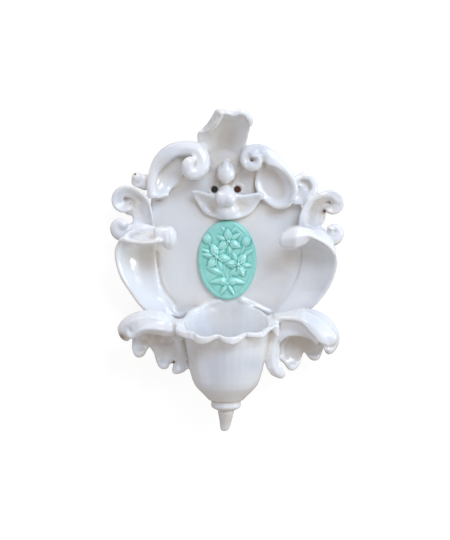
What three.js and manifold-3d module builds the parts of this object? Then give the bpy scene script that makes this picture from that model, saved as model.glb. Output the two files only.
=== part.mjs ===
// Hand-built glazed wall stoup: a flat slab with a hanging bowl, an oval relief and luted clay scrolls.
// Millimetres. X is to the right, Z is up and the front looks along -Y. The origin lies on the wall
// face, midway between the two hanging holes.
import * as THREE from "three";
import { mergeVertices } from "three/addons/utils/BufferGeometryUtils.js";
import Module from "manifold-3d";

const wasm = await Module();
wasm.setup();

// Back slab
const SLAB_WIDTH = 146;
const SLAB_TOP = 40; // top edge above the hanging holes
const SLAB_DROP = 156; // bottom edge below the hanging holes
const SLAB_WIDEST_DROP = 45; // level where the slab is widest
const SLAB_THICKNESS = 10;
const SLAB_EDGE = 2.5; // rounding of the front and back edges
const HOLE_SPACING = 21.6;
const HOLE_DIAMETER = 6.5;

// Bowl, in plan an ellipse that touches the slab
const BOWL_WIDTH = 75;
const BOWL_DEPTH = 68;
const BOWL_WALL = 5;
const BOWL_FLOOR = 14;
const LIP_WALL = 2.6; // the wall thins to this at the lip
const LIP_FLARE = 5; // the mouth opens like a trumpet, except at the slab
const BOWL_SINK = 2; // how far the bowl's back is pressed past the slab's face
const MOUTH_FRONT_DROP = 130; // lip below the hanging holes, at the front and at the back
const MOUTH_BACK_DROP = 107;
const BOWL_FOOT_DROP = 194;
const BOWL_FOOT_WIDTH = 30;

// Ruffled lip on the bowl
const RUFFLE_LOBES = 6;
const RUFFLE_LOBE = 33; // degrees that one lobe takes
const RUFFLE_TURN = 6.5; // degrees that the lobes are off the middle
const RUFFLE_FLARE = 7.5; // how far a lobe stands out from the mouth
const RUFFLE_SPLAY = 1; // further flare at the bowl's two sides
const RUFFLE_FALL = 10; // how far a lobe hangs below the mouth
const RUFFLE_LIP = 3.4; // clay thickness above the mouth

// Turned foot under the bowl
const COLLAR_WIDTH = 26.4;
const COLLAR_HEIGHT = 9;
const COLLAR_STEP = 1.2; // how far the bead stands out from the drop
const DROP_WIDTH = 15;
const DROP_TIP_WIDTH = 8;
const DROP_LENGTH = 19;
const DROP_LEAN = 1.5;

// Oval relief plaque
const PLAQUE_WIDTH = 55.5;
const PLAQUE_HEIGHT = 75;
const PLAQUE_THICKNESS = 4.5;
const PLAQUE_ROUNDING = 2.5;
const PLAQUE_CROWN = 0.8; // how far the middle stands above the edge
const PLAQUE_CENTRE_DROP = 66.5;
const PLAQUE_SHIFT = 0.9; // off the middle, as it was set by hand

// Bud, knob and the thickness of the pressed and rolled clay
const BUD_WIDTH = 17;
const BUD_HEIGHT = 21;
const BUD_DROP = 33.5; // its lower end below the slab's top
const BUD_LEAN = 8; // degrees that it leans back
const BUD_SINK = 2; // how far the bud and the knob are pressed past the slab's face
const KNOB_WIDTH = 16.5;
const KNOB_LENGTH = 25;
const KNOB_SINK = 3;
const KNOB_DROOP = 28; // degrees that the knob hangs and turns
const KNOB_TURN = 5;
const LEAF = 4.8; // clay of the pressed leaves and straps
const VOLUTE = 15.5; // round end of a top scroll
const CURL = 13; // round end of a curl

// Where each family of ornaments is luted on
const SHOULDER_IN = 13; // top scrolls, in from the slab's widest edge and below its top
const SHOULDER_DROP = 40;
const BOW_DROP = 15; // bow, below the hanging holes
const FLANK_IN = 3; // side scrolls and curls, in from the slab's widest edge and below that level
const FLANK_DROP = 15;
const WING_OUT = 2.5; // wings, out from the bowl's side and above its front lip
const WING_RISE = 10;
const CLEARANCE = 0.3; // joint between two luted pieces
const RIB_UNIT = 1; // the ribs of the straps are given in steps of this length

// How finely round forms are cut
const ROUND = 32;
const LOBE_CUTS = 5;
const SIDES = 8;
const DISH_SIDES = 14; // for the broad dishes
const BALL_CUTS = 6;
const STEPS = 2;
const SECTION = 8; // rings in one length of a strap
const WELD = 1e-4;
const SQUARENESS = 3; // how full the edges of a thin strap are, 2 being an ellipse
const SMOOTHING = 0.12;
const NUDGE = 1e-3; // step for measuring a slope

const GLAZE = { white: 0xebecf0, aqua: 0x7dcdb9 };

const radians = THREE.MathUtils.degToRad;
const mix = THREE.MathUtils.lerp;

// A point from how far right it is, how far it stands off the slab's front and how high it is.
function spot(right, off, up) {
  return new THREE.Vector3(right, -SLAB_THICKNESS - off, up);
}

// Closed skin over rings of points. Each end is closed by a ladder between the ring's two halves.
function skin(rings) {
  const count = rings[0].length;
  const points = rings.flat();
  const faces = [];
  for (let i = 0; i + 1 < rings.length; i += 1) {
    for (let k = 0; k < count; k += 1) {
      const a = i * count + k;
      const b = i * count + ((k + 1) % count);
      faces.push(a, b, a + count, b, b + count, a + count);
    }
  }
  const last = (rings.length - 1) * count;
  for (let low = 0, high = count - 1; low + 1 < high; low += 1, high -= 1) {
    const rungs = [low, low + 1, high];
    if (low + 1 < high - 1) {
      rungs.push(low + 1, high - 1, high);
    }
    faces.push(...rungs.map((k) => k + last), ...rungs.reverse());
  }
  const geometry = new THREE.BufferGeometry().setFromPoints(points);
  geometry.setIndex(facingOut(points, faces));
  return geometry;
}

// The same faces, turned round where they enclose a negative volume.
function facingOut(points, faces) {
  let volume = 0;
  const side = new THREE.Vector3();
  for (let i = 0; i < faces.length; i += 3) {
    const [a, b, c] = faces.slice(i, i + 3).map((k) => points[k]);
    volume += side.crossVectors(b, c).dot(a);
  }
  return volume > 0 ? faces : faces.reverse();
}

// Ribs of an end that winds about an eye, seen from the front, and tightens as it goes. It is a round
// tube, or a strap of that width that is hollowed across.
function coil({ eye, from, sweep, radius, tube, rise, steps = 6, tighten = 1, hollow = 0 }) {
  const ribs = [];
  for (let i = 0; i <= steps; i += 1) {
    const t = i / steps;
    const angle = radians(from + sweep * t);
    const reach = mix(radius[0], radius[1], t ** tighten);
    const thick = mix(tube[0], tube[1], t);
    const at = (r, sunk) => [
      eye[0] + r * Math.cos(angle),
      mix(rise[0], rise[1], t) - sunk,
      eye[1] + r * Math.sin(angle),
    ];
    const rib = [at(reach + thick / 2, 0), at(reach, hollow), at(reach - thick / 2, hollow / 2)];
    ribs.push([...rib, hollow > 0 ? LEAF + 1 : thick]);
  }
  return ribs;
}

// A point of a rib, measured outward, off the slab and up from the seat that carries it.
function onSeat(seat, [x, off, z]) {
  return spot(seat.side * (seat.x + RIB_UNIT * x), RIB_UNIT * off, seat.z + RIB_UNIT * z);
}

// A strap of clay lofted through its ribs, with rounded edges and ends. Each rib is one edge, the
// middle and the other edge as (outward, off the slab, up) from the seat, and the clay's thickness.
// The seat gives the side (-1 left, 1 right) and the point that the ribs are measured from. The strap
// is joined from short lengths, so that a coil may run over itself.
function strap(seat, ribs, sides = SIDES, steps = STEPS) {
  const place = (point) => onSeat(seat, point);
  const lines = [0, 1, 2].map((k) => new THREE.CatmullRomCurve3(ribs.map((r) => place(r[k]))));
  const depths = new THREE.SplineCurve(ribs.map((r, i) => new THREE.Vector2(i, r[3])));
  const on = (s, t) => {
    const [left, middle, right] = lines.map((line) => line.getPoint(t));
    const point = left.multiplyScalar((s * (s - 1)) / 2);
    return point.addScaledVector(middle, 1 - s * s).addScaledVector(right, (s * (s + 1)) / 2);
  };
  const ring = (t, bow) => {
    const thick = depths.getPoint(t).y;
    const wide = on(-1, t).distanceTo(on(1, t));
    const trim = 1 - (thick * (1 - Math.cos(bow))) / wide;
    const power = Math.min(SQUARENESS, 1 + wide / thick);
    return Array.from({ length: sides }, (_, k) => {
      const turn = (2 * Math.PI * k) / sides;
      const share = Math.cos(turn);
      const swell = Math.sign(Math.sin(turn)) * (1 - Math.abs(share) ** power) ** (1 / power);
      const s = share * trim;
      const across = on(s + NUDGE, t).sub(on(s - NUDGE, t));
      const along = on(s, Math.min(t + NUDGE, 1)).sub(on(s, Math.max(t - NUDGE, 0))).normalize();
      const normal = new THREE.Vector3().crossVectors(across, along).normalize();
      const point = on(s, t).addScaledVector(along, (Math.sin(bow) * thick) / 2);
      return point.addScaledVector(normal, (swell * Math.cos(bow) * thick) / 2);
    });
  };
  const rings = [ring(0, radians(-75)), ring(0, radians(-40))];
  const count = (ribs.length - 1) * steps;
  for (let i = 0; i <= count; i += 1) {
    rings.push(ring(i / count, 0));
  }
  rings.push(ring(1, radians(40)), ring(1, radians(75)));
  const lengths = [];
  for (let i = 0; i + 1 < rings.length; i += SECTION) {
    lengths.push(toSolid(skin(rings.slice(i, i + SECTION + 1))));
  }
  return wasm.Manifold.union(lengths);
}

// A ball of clay pressed out of round: its middle is measured like a rib's points.
function ball(seat, place, radii) {
  const round = new THREE.SphereGeometry(RIB_UNIT, 2 * BALL_CUTS, BALL_CUTS).scale(...radii);
  const middle = onSeat(seat, place);
  return toSolid(round.translate(middle.x, middle.y, middle.z));
}

// A turned form: profile points (radius, height) about a vertical axis.
function turned(profile, rounds = ROUND) {
  const points = profile.map(([radius, up]) => new THREE.Vector2(radius, up));
  const geometry = new THREE.LatheGeometry(points, rounds);
  return geometry.rotateX(Math.PI / 2);
}

// A smooth profile through a few points.
function smooth(points, count) {
  const curve = new THREE.SplineCurve(points.map(([r, z]) => new THREE.Vector2(r, z)));
  return curve.getPoints(count).map((p) => [Math.max(p.x, 0), p.y]);
}

function toSolid(geometry) {
  const bare = geometry.clone();
  bare.deleteAttribute("normal");
  bare.deleteAttribute("uv");
  const welded = mergeVertices(bare, WELD);
  const mesh = new wasm.Mesh({
    numProp: 3,
    vertProperties: welded.attributes.position.array,
    triVerts: new Uint32Array(welded.index.array),
  });
  return new wasm.Manifold(mesh);
}

function toGeometry(solid) {
  const mesh = solid.getMesh();
  const geometry = new THREE.BufferGeometry();
  geometry.setAttribute("position", new THREE.BufferAttribute(mesh.vertProperties, 3));
  geometry.setIndex(new THREE.BufferAttribute(mesh.triVerts, 1));
  return geometry;
}

// The same solid with its skin moved outward by the joint's clearance.
function grown(solid) {
  const geometry = toGeometry(solid);
  geometry.computeVertexNormals();
  const { position, normal } = geometry.attributes;
  for (let i = 0; i < position.count; i += 1) {
    const point = new THREE.Vector3().fromBufferAttribute(position, i);
    point.addScaledVector(new THREE.Vector3().fromBufferAttribute(normal, i), CLEARANCE);
    position.setXYZ(i, point.x, point.y, point.z);
  }
  return toSolid(geometry);
}

function largestBody(solid) {
  const bodies = solid.decompose();
  return bodies.reduce((best, body) => (body.volume() > best.volume() ? body : best));
}

function makeSlab() {
  const half = SLAB_WIDTH / 2;
  const rim = half - SLAB_EDGE;
  const top = SLAB_TOP - SLAB_EDGE;
  const bottom = SLAB_EDGE - SLAB_DROP;
  const shoulder = 0.78 * rim; // length of the handles that draw the shoulder and the point below
  const point = 0.57 * rim;
  const outline = new THREE.Shape();
  outline.moveTo(0, bottom);
  outline.bezierCurveTo(point, bottom, rim, 0.64 * bottom, rim, -SLAB_WIDEST_DROP);
  outline.bezierCurveTo(rim, top / 2, shoulder, top, 0, top);
  outline.bezierCurveTo(-shoulder, top, -rim, top / 2, -rim, -SLAB_WIDEST_DROP);
  outline.bezierCurveTo(-rim, 0.64 * bottom, -point, bottom, 0, bottom);
  const slab = new THREE.ExtrudeGeometry(outline, {
    depth: SLAB_THICKNESS - 2 * SLAB_EDGE,
    bevelSize: SLAB_EDGE,
    bevelThickness: SLAB_EDGE,
    bevelSegments: 2,
    curveSegments: ROUND / 4,
  });
  slab.translate(0, 0, SLAB_EDGE).rotateX(Math.PI / 2);
  return [-1, 1].reduce((solid, side) => solid.subtract(hangingHole(side)), toSolid(slab));
}

function hangingHole(side) {
  const length = 2 * SLAB_THICKNESS;
  const bore = new THREE.CylinderGeometry(HOLE_DIAMETER / 2, HOLE_DIAMETER / 2, length, ROUND / 2);
  bore.translate((side * HOLE_SPACING) / 2, -SLAB_THICKNESS / 2, 0);
  return toSolid(bore);
}

// How far the bowl's axis stands off the slab's front.
const bowlAxis = BOWL_DEPTH / 2 - BOWL_SINK;

// Height of the bowl's lip, which sweeps up from the front to the slab.
function mouthHeight(off) {
  const back = THREE.MathUtils.clamp((bowlAxis + BOWL_DEPTH / 2 - off) / BOWL_DEPTH, 0, 1);
  return mix(-MOUTH_FRONT_DROP, -MOUTH_BACK_DROP, back ** 1.6);
}

// Point of the bowl: radius as a share of half its width, angle from the front and height.
function onBowl(radius, angle, up) {
  const depth = BOWL_DEPTH / BOWL_WIDTH;
  return spot(radius * Math.sin(angle), bowlAxis + radius * depth * Math.cos(angle), up);
}

// How far the mouth is flared at an angle from the front.
function lipFlare(angle) {
  return LIP_FLARE * ((1 + Math.cos(angle)) / 2) ** 0.3;
}

// Bell of the bowl with its wall, turned, flared and then pulled up at the back to the lip's sweep.
function makeBowl() {
  const radius = BOWL_WIDTH / 2;
  const foot = BOWL_FOOT_WIDTH / 2;
  const height = BOWL_FOOT_DROP - MOUTH_FRONT_DROP;
  const inside = radius - BOWL_WALL;
  const outer = smooth([[foot, 0], [0.58 * radius, 0.1 * height], [0.8 * radius, 0.24 * height],
    [0.92 * radius, 0.5 * height], [radius, height]], 9);
  const inner = smooth([[radius - LIP_WALL, height], [inside, 0.84 * height], [0.9 * inside, 0.5 * height],
    [0.62 * inside, BOWL_FLOOR + 0.06 * height], [0, BOWL_FLOOR]], 7);
  const bell = turned([[0, 0], ...outer, ...inner]);
  const { position } = bell.attributes;
  for (let i = 0; i < position.count; i += 1) {
    const angle = Math.atan2(position.getX(i), -position.getY(i));
    const rise = position.getZ(i) / height;
    const round = Math.hypot(position.getX(i), position.getY(i));
    const reach = round + lipFlare(angle) * rise ** 6;
    const off = bowlAxis + reach * (BOWL_DEPTH / BOWL_WIDTH) * Math.cos(angle);
    const point = onBowl(reach, angle, mix(-BOWL_FOOT_DROP, mouthHeight(off), rise));
    position.setXYZ(i, point.x, point.y, point.z);
  }
  return toSolid(bell);
}

// Pinched strip on the bowl's lip: lobes hang between cusps where the clay was nipped.
function makeRuffle() {
  const rings = [];
  for (let i = 0; i <= RUFFLE_LOBES * LOBE_CUTS; i += 1) {
    const turns = i / LOBE_CUTS - RUFFLE_LOBES / 2;
    const angle = radians(RUFFLE_TURN + RUFFLE_LOBE * turns);
    const lobe = Math.abs(Math.cos(Math.PI * turns));
    const outside = BOWL_WIDTH / 2 + lipFlare(angle);
    const inside = outside - LIP_WALL;
    const flare = RUFFLE_FLARE * (0.35 + 0.65 * lobe) + RUFFLE_SPLAY * Math.sin(angle) ** 2;
    const fall = RUFFLE_FALL * (0.15 + 0.85 * lobe);
    const crest = RUFFLE_LIP * (1.25 - 0.4 * lobe);
    const at = (radius, up) => {
      const level = onBowl(Math.min(radius, outside), angle, 0);
      return onBowl(radius, angle, mouthHeight(-level.y - SLAB_THICKNESS) + up);
    };
    rings.push([
      at(inside, 1.5 * CLEARANCE),
      at(inside + 0.5 * CLEARANCE, 0.4 * crest),
      at(outside + 0.6 * flare, crest),
      at(outside + flare, 0.8 * crest),
      at(outside + flare, -0.5 * fall),
      at(outside + flare - 0.6, -fall),
      at(outside + flare - 0.8 * RUFFLE_LIP, -0.85 * fall),
      at(outside + 3 * CLEARANCE, 1.5 * CLEARANCE),
    ]);
  }
  return toSolid(skin(rings));
}

// Bead between the bowl's foot and the hanging drop.
function makeCollar() {
  const top = COLLAR_WIDTH / 2;
  const low = DROP_WIDTH / 2 + COLLAR_STEP;
  const profile = smooth([[top, 0], [mix(top, low, 0.2), -0.35 * COLLAR_HEIGHT],
    [mix(top, low, 0.75), -0.8 * COLLAR_HEIGHT], [low, -COLLAR_HEIGHT]], 4);
  const ring = turned([[0, 0], ...profile, [0, -COLLAR_HEIGHT]].reverse());
  const level = -BOWL_FOOT_DROP - CLEARANCE;
  const seat = spot(0, bowlAxis, level);
  return toSolid(ring.scale(1, BOWL_DEPTH / BOWL_WIDTH, 1).translate(seat.x, seat.y, seat.z));
}

// Tapered drop that leans a little, as hand-rolled clay does.
function makeDrop() {
  const top = DROP_WIDTH / 2;
  const tip = DROP_TIP_WIDTH / 2;
  const profile = smooth([[top, 0], [0.5 * (top + tip), -0.4 * DROP_LENGTH], [tip, -0.85 * DROP_LENGTH],
    [0.6 * tip, -0.97 * DROP_LENGTH], [0, -DROP_LENGTH]], 9);
  const drop = turned([[0, 0], ...profile].reverse(), ROUND / 2);
  const { position } = drop.attributes;
  for (let i = 0; i < position.count; i += 1) {
    const lean = (position.getZ(i) / DROP_LENGTH) ** 2 * DROP_LEAN;
    position.setX(i, position.getX(i) - lean);
  }
  const seat = spot(0, bowlAxis, -BOWL_FOOT_DROP - COLLAR_HEIGHT - 2 * CLEARANCE);
  return toSolid(drop.translate(seat.x, seat.y, seat.z));
}

// Oval plaque with a rounded edge and a gently crowned field.
function makePlaque() {
  const half = PLAQUE_WIDTH / 2;
  const top = PLAQUE_THICKNESS;
  const edge = PLAQUE_ROUNDING;
  const profile = [[0, 0], [half, 0], [half, top - edge], [half - 0.3 * edge, top - 0.35 * edge],
    [half - edge, top], [0.5 * half, top + 0.75 * PLAQUE_CROWN], [0, top + PLAQUE_CROWN]];
  const points = profile.map(([radius, up]) => new THREE.Vector2(radius, up));
  const oval = new THREE.LatheGeometry(points, ROUND).scale(1, -1, PLAQUE_HEIGHT / PLAQUE_WIDTH);
  const index = oval.index.array;
  oval.setIndex([...index].reverse());
  const seat = spot(PLAQUE_SHIFT, CLEARANCE, -PLAQUE_CENTRE_DROP);
  return toSolid(oval.translate(seat.x, seat.y, seat.z));
}

// Round teardrop under the crest.
function makeBud() {
  const half = BUD_WIDTH / 2;
  const profile = smooth([[0, 0], [0.75 * half, 0.09 * BUD_HEIGHT], [half, 0.38 * BUD_HEIGHT],
    [0.8 * half, 0.7 * BUD_HEIGHT], [0.3 * half, 0.94 * BUD_HEIGHT], [0, BUD_HEIGHT]], 8);
  const bud = turned(profile, ROUND / 2).rotateX(radians(BUD_LEAN));
  const seat = spot(0, half - BUD_SINK, SLAB_TOP - BUD_DROP);
  return toSolid(bud.translate(seat.x, seat.y, seat.z));
}

// Drooping knob over the middle of the bow.
function makeKnob() {
  const half = KNOB_WIDTH / 2;
  const profile = smooth([[0.75 * half, 0], [0.92 * half, 0.3 * KNOB_LENGTH], [half, 0.62 * KNOB_LENGTH],
    [0.7 * half, 0.92 * KNOB_LENGTH], [0, KNOB_LENGTH]], 8);
  const knob = turned([[0, 0], ...profile], ROUND / 2);
  knob.rotateX(radians(90 + KNOB_DROOP)).rotateY(radians(-KNOB_TURN));
  const seat = spot(0, -KNOB_SINK, 0);
  return toSolid(knob.translate(seat.x, seat.y, seat.z));
}

// Bow of two dished leaves across the slab, below the hanging holes.
function makeBow() {
  return strap({ side: 1, x: 0, z: -BOW_DROP }, [
    [[-31.5, 10, 14], [-31, 9.5, 12.5], [-31, 9, 10], LEAF - 1.5],
    [[-27, 11, 13.5], [-27, 5.5, 8.5], [-27, 5, 2.5], LEAF - 1],
    [[-19.5, 11.5, 11.5], [-19.5, 2.5, 3.5], [-21.5, 4.5, -6], LEAF],
    [[-11, 12, 9], [-11, 2, -0.5], [-13, 5, -11.5], LEAF],
    [[0, 11, 8.5], [0, 9.5, -1.5], [-0.5, 7, -13.5], LEAF + 1],
    [[11, 12, 9], [11.5, 2, -0.5], [13, 5, -12.5], LEAF],
    [[20.5, 11.5, 10], [21.5, 2.5, 2], [23.5, 4.5, -7.5], LEAF],
    [[28, 11, 11], [28.5, 5.5, 7], [29.5, 5, 0.5], LEAF - 1],
    [[33, 10, 11], [33, 9.5, 9.5], [32.5, 9, 6], LEAF - 1.5],
  ], DISH_SIDES);
}

// Concave shell that crowns the slab, leans forward and folds outward at its wavy lip.
function makeCrest() {
  const seat = { side: 1, x: 0, z: SLAB_TOP };
  const shell = strap(seat, [
    [[-13, 3, -14], [0, -2, -15], [13, 3, -14], LEAF],
    [[-21, 8, -7], [-2, 0, -7], [17, 7, -7], LEAF],
    [[-26, 15, 2], [-3, 3, 2], [19.5, 13, 2], LEAF],
    [[-26.5, 21, 11], [-2.5, 8, 10], [21, 18, 10.5], LEAF],
    [[-18, 25, 18.5], [0, 14, 18], [23, 23, 18.5], LEAF],
    [[-11, 29, 25], [3.5, 21, 24.5], [22, 28, 24.5], LEAF],
    [[-6, 32, 29.5], [4.5, 28, 27.5], [17, 32, 29], LEAF],
  ], DISH_SIDES);
  const lip = strap(seat, [
    [[-24.5, 19, 12.5], [-22, 21, 11.5], [-19.5, 22, 10.5], LEAF - 0.5],
    [[-20.5, 20, 17], [-17, 24, 14], [-13.5, 25, 11.5], LEAF],
    [[-16, 22, 21.5], [-11.5, 27, 18.5], [-7.5, 28, 16.5], LEAF],
    [[-12.5, 25, 27], [-7.5, 30, 25], [-3.5, 31, 23], LEAF],
    [[-9, 29, 32], [-5.5, 33, 29.5], [-2, 33, 27.5], LEAF],
    [[-2, 30, 30.5], [0, 33, 28.5], [2, 33, 26.5], LEAF],
    [[5.5, 29, 29], [6, 32, 27], [6.5, 32, 25], LEAF],
    [[13.5, 30, 32], [13.5, 33, 29.5], [13.5, 33, 27.5], LEAF],
    [[19.5, 29, 29.5], [18, 32, 27.5], [17, 32, 25.5], LEAF],
    [[23, 27, 24.5], [21.5, 30, 23], [19.5, 30, 22], LEAF],
    [[23.5, 25, 19], [22, 27, 19], [20.5, 27, 19], LEAF - 0.5],
  ], SIDES, 1);
  return wasm.Manifold.union([shell, lip]);
}

const shoulder = (side) => ({ side, x: SLAB_WIDTH / 2 - SHOULDER_IN, z: SLAB_TOP - SHOULDER_DROP });

// Left top scroll: an open dish whose thick outer edge winds into a round volute with a bead in its eye.
function makeTopScrollLeft() {
  const dish = strap(shoulder(-1), [
    [[11.5, 12, -5], [2.5, 11, -6.5], [-10, 10, -4], LEAF],
    [[12, 13, 1], [1, 6, -1.5], [-17, 8, 3.5], LEAF],
    [[10.5, 13, 11], [-2, 3, 10], [-22, 6, 11], LEAF],
    [[7.5, 13, 20.5], [-7, 2, 21], [-27, 5, 20], LEAF],
    [[1, 12, 29.5], [-11, 3, 29], [-28, 5, 28.5], LEAF],
  ], DISH_SIDES);
  const volute = strap(shoulder(-1), [
    [[13, 12, -5.5], [9.5, 12, -6], [6, 12, -6], LEAF + 1],
    [[14, 13, 2], [10, 13, 2], [6, 13, 2.5], LEAF + 2],
    [[12.5, 13, 12], [8, 13, 11.5], [3.5, 13, 11], LEAF + 2.5],
    [[9.5, 12.5, 23], [4.5, 12.5, 20.5], [-0.5, 12.5, 17.5], LEAF + 3.5],
    [[3.5, 12, 33.5], [-1.5, 12, 28], [-6.5, 12, 22.5], LEAF + 5.5],
    [[-5.5, 11, 41], [-9, 11, 34.5], [-12, 11, 28], VOLUTE - 4],
    [[-14.5, 10.5, 44], [-16.5, 10.5, 37], [-18, 10.5, 30], VOLUTE - 2],
    ...coil({ eye: [-25.5, 23.5], from: 82, sweep: 240, radius: [14, 1.5], tube: [VOLUTE, VOLUTE - 2],
      rise: [10, 20], tighten: 3 }),
  ]);
  return wasm.Manifold.union([dish, volute]);
}

// Right top scroll: a wide dished ear under a strap that winds into a tight coil.
function makeTopScrollRight() {
  const dish = strap(shoulder(1), [
    [[2.5, 13, -9.5], [-6, 9, -16], [-18, 8, -16], LEAF],
    [[4.5, 16, -2], [-10.5, 3, -7.5], [-28.5, 7, -6], LEAF],
    [[2.5, 17, 7.5], [-13, 1, 3], [-33.5, 6, 3], LEAF],
    [[-1.5, 17, 15], [-15, 1, 13.5], [-32, 4, 12.5], LEAF],
    [[-9, 15, 26], [-19, 11, 28], [-30, 8, 25], LEAF],
  ], DISH_SIDES);
  const volute = strap(shoulder(1), [
    [[2.5, 13, -9], [1, 14, -10], [-0.5, 13, -11.5], LEAF - 1],
    [[6, 15, -1], [4.5, 17, -1.5], [2.5, 15, -2], LEAF - 0.5],
    [[4, 15, 8.5], [2, 18, 7.5], [-0.5, 16, 7.5], LEAF - 0.5],
    [[0, 14, 16.5], [-3, 18, 15], [-6, 16, 14], LEAF],
    [[-5.5, 13, 25.5], [-9.5, 17, 22], [-14, 17, 19.5], LEAF + 1],
    [[-13, 12, 34], [-18, 15, 27.5], [-23, 15, 22], LEAF + 2],
    [[-23, 11, 40], [-25, 12, 33.5], [-27, 11, 27.5], VOLUTE - 5],
    ...coil({ eye: [-34.5, 27.5], from: 75, sweep: 385, radius: [9, 3.4], tube: [VOLUTE - 4, VOLUTE - 7.5],
      rise: [10, 18], steps: 10 }),
  ]);
  return wasm.Manifold.union([dish, volute]);
}

// Broken-off stub beside the left top scroll.
function makeEarLeft() {
  return strap(shoulder(-1), [
    [[11, 4, 13], [11, 3, 6.5], [11, 4, 0], LEAF + 2],
    [[18, 7, 14], [19, 4.5, 7], [20, 6, 0.5], LEAF + 2],
    [[24, 8, 13], [25.5, 6, 8], [26, 7, 3], LEAF + 1],
  ]);
}

// Hook that springs from the right top scroll.
function makeEarRight() {
  return strap(shoulder(1), [
    [[-7.5, 6, -10], [-5, 3, -4], [-2.5, 5, 2], LEAF + 2],
    ...coil({ eye: [11, 3.5], from: -115, sweep: 270, radius: [10, 3.2], tube: [CURL + 6.5, CURL - 4.5],
      rise: [8, 13], hollow: 5 }),
  ]);
}

const flank = (side) => ({ side, x: SLAB_WIDTH / 2 - FLANK_IN, z: -SLAB_WIDEST_DROP - FLANK_DROP });

// Curl above a side scroll: a dished leg that hooks outward into a round end.
function makeUpperCurlLeft() {
  return strap(flank(-1), [
    [[-7, 3, 19], [2, 1, 19], [11, 3, 21], LEAF],
    [[-3, 9, 28], [6, 2, 28], [17, 5, 30], LEAF],
    [[-2, 13, 36], [7, 3, 36], [18.5, 6, 36.5], LEAF],
    [[0, 14, 44], [8, 4, 43], [17.5, 7, 41.5], LEAF + 1],
    [[4, 14, 52.5], [10, 6, 49.5], [16, 8, 46.5], LEAF + 1],
    [[11.5, 13.5, 59], [14, 7.5, 54], [16.5, 9.5, 49], LEAF + 1],
    ...coil({ eye: [24, 49], from: 130, sweep: -245, radius: [9, 5], tube: [CURL, CURL - 3.5],
      rise: [13, 12], hollow: 6 }),
  ]);
}

function makeUpperCurlRight() {
  return strap(flank(1), [
    [[-7, 3, 18], [3, 1, 18], [13, 3, 21], LEAF],
    [[-2.5, 9, 27], [7, 2, 27], [19, 5, 29.5], LEAF],
    [[-1.5, 13, 35], [8.5, 3, 34.5], [20, 6, 35.5], LEAF],
    [[2, 14, 44], [9.5, 4, 41], [18, 7, 39], LEAF + 1],
    [[8, 14, 51], [12.5, 6, 47], [17, 8, 43], LEAF + 1],
    [[16, 13.5, 55], [17.5, 8, 50], [19, 9.5, 45], LEAF + 1],
    ...coil({ eye: [28.5, 46], from: 135, sweep: -265, radius: [8.5, 4.3], tube: [CURL - 1, CURL - 4.5],
      rise: [13, 12], hollow: 5 }),
  ]);
}

// Small hooks on the outer edges of the side scrolls.
function makeLowerCurlLeft() {
  return strap(flank(-1), [
    [[1, 2, 15], [2, 1.5, 20], [3, 2, 25], CURL - 4],
    [[10, 5, 18], [13, 4, 24], [16, 5, 30], CURL - 2],
    ...coil({ eye: [27.5, 24.5], from: -130, sweep: 250, radius: [8, 3], tube: [CURL, CURL - 4.5],
      rise: [7, 12] }),
  ]);
}

function makeLowerCurlRight() {
  return strap(flank(1), [
    [[2, 2, 11], [3, 1.5, 16], [4, 2, 21], CURL - 4],
    [[11, 5, 14], [14, 4, 20], [17, 5, 26], CURL - 2],
    ...coil({ eye: [29.5, 20], from: -130, sweep: 250, radius: [8, 3], tube: [CURL, CURL - 4.5],
      rise: [7, 12] }),
  ]);
}

// Side scrolls: a dished strap climbs the slab's edge and rolls over into a hood with a knuckle.
function makeSideScrollLeft() {
  const gutter = strap(flank(-1), [
    [[-13, 8, -62], [-21, 3, -59], [-27.5, 2, -61], LEAF],
    [[5.5, 15, -54], [-7, 4, -48], [-19, 2, -52], LEAF],
    [[17, 20, -38], [6, 6, -36], [-8, 2, -36], LEAF],
    [[26, 25, -23], [13.5, 9, -22], [-5, 2, -20], LEAF],
    [[30.5, 28, -8], [17, 10, -7], [-4, 2, -7], LEAF],
    [[31.5, 31, 2], [17, 12, 4], [-5, 3, 4], LEAF],
    [[28.5, 35, 10], [13, 15, 14], [-8, 8, 13], LEAF],
    [[22.5, 38, 14], [9, 21, 22], [-11, 16, 21], LEAF],
  ], DISH_SIDES);
  const hood = strap(flank(-1), [
    [[25.5, 27, 14], [25.5, 31, 13], [25, 34, 12], LEAF - 1],
    [[17.5, 20, 23.5], [18.5, 26, 16.5], [16, 40, 11], LEAF],
    [[8.5, 17, 29], [8.5, 22, 17], [6, 43, 9.5], LEAF],
    [[-0.5, 17, 26.5], [-2, 23, 16.5], [-3.5, 44, 10.5], LEAF],
    [[-9, 18, 23], [-11, 28, 16], [-12, 44, 12.5], LEAF + 0.5],
    [[-15.5, 20, 21], [-17, 35, 16.5], [-17.5, 42, 11.5], LEAF + 1],
  ]);
  const knuckle = ball(flank(-1), [-18, 35, 15.5], [8, 9.5, 11]);
  return wasm.Manifold.union([gutter, hood, knuckle]);
}

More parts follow.
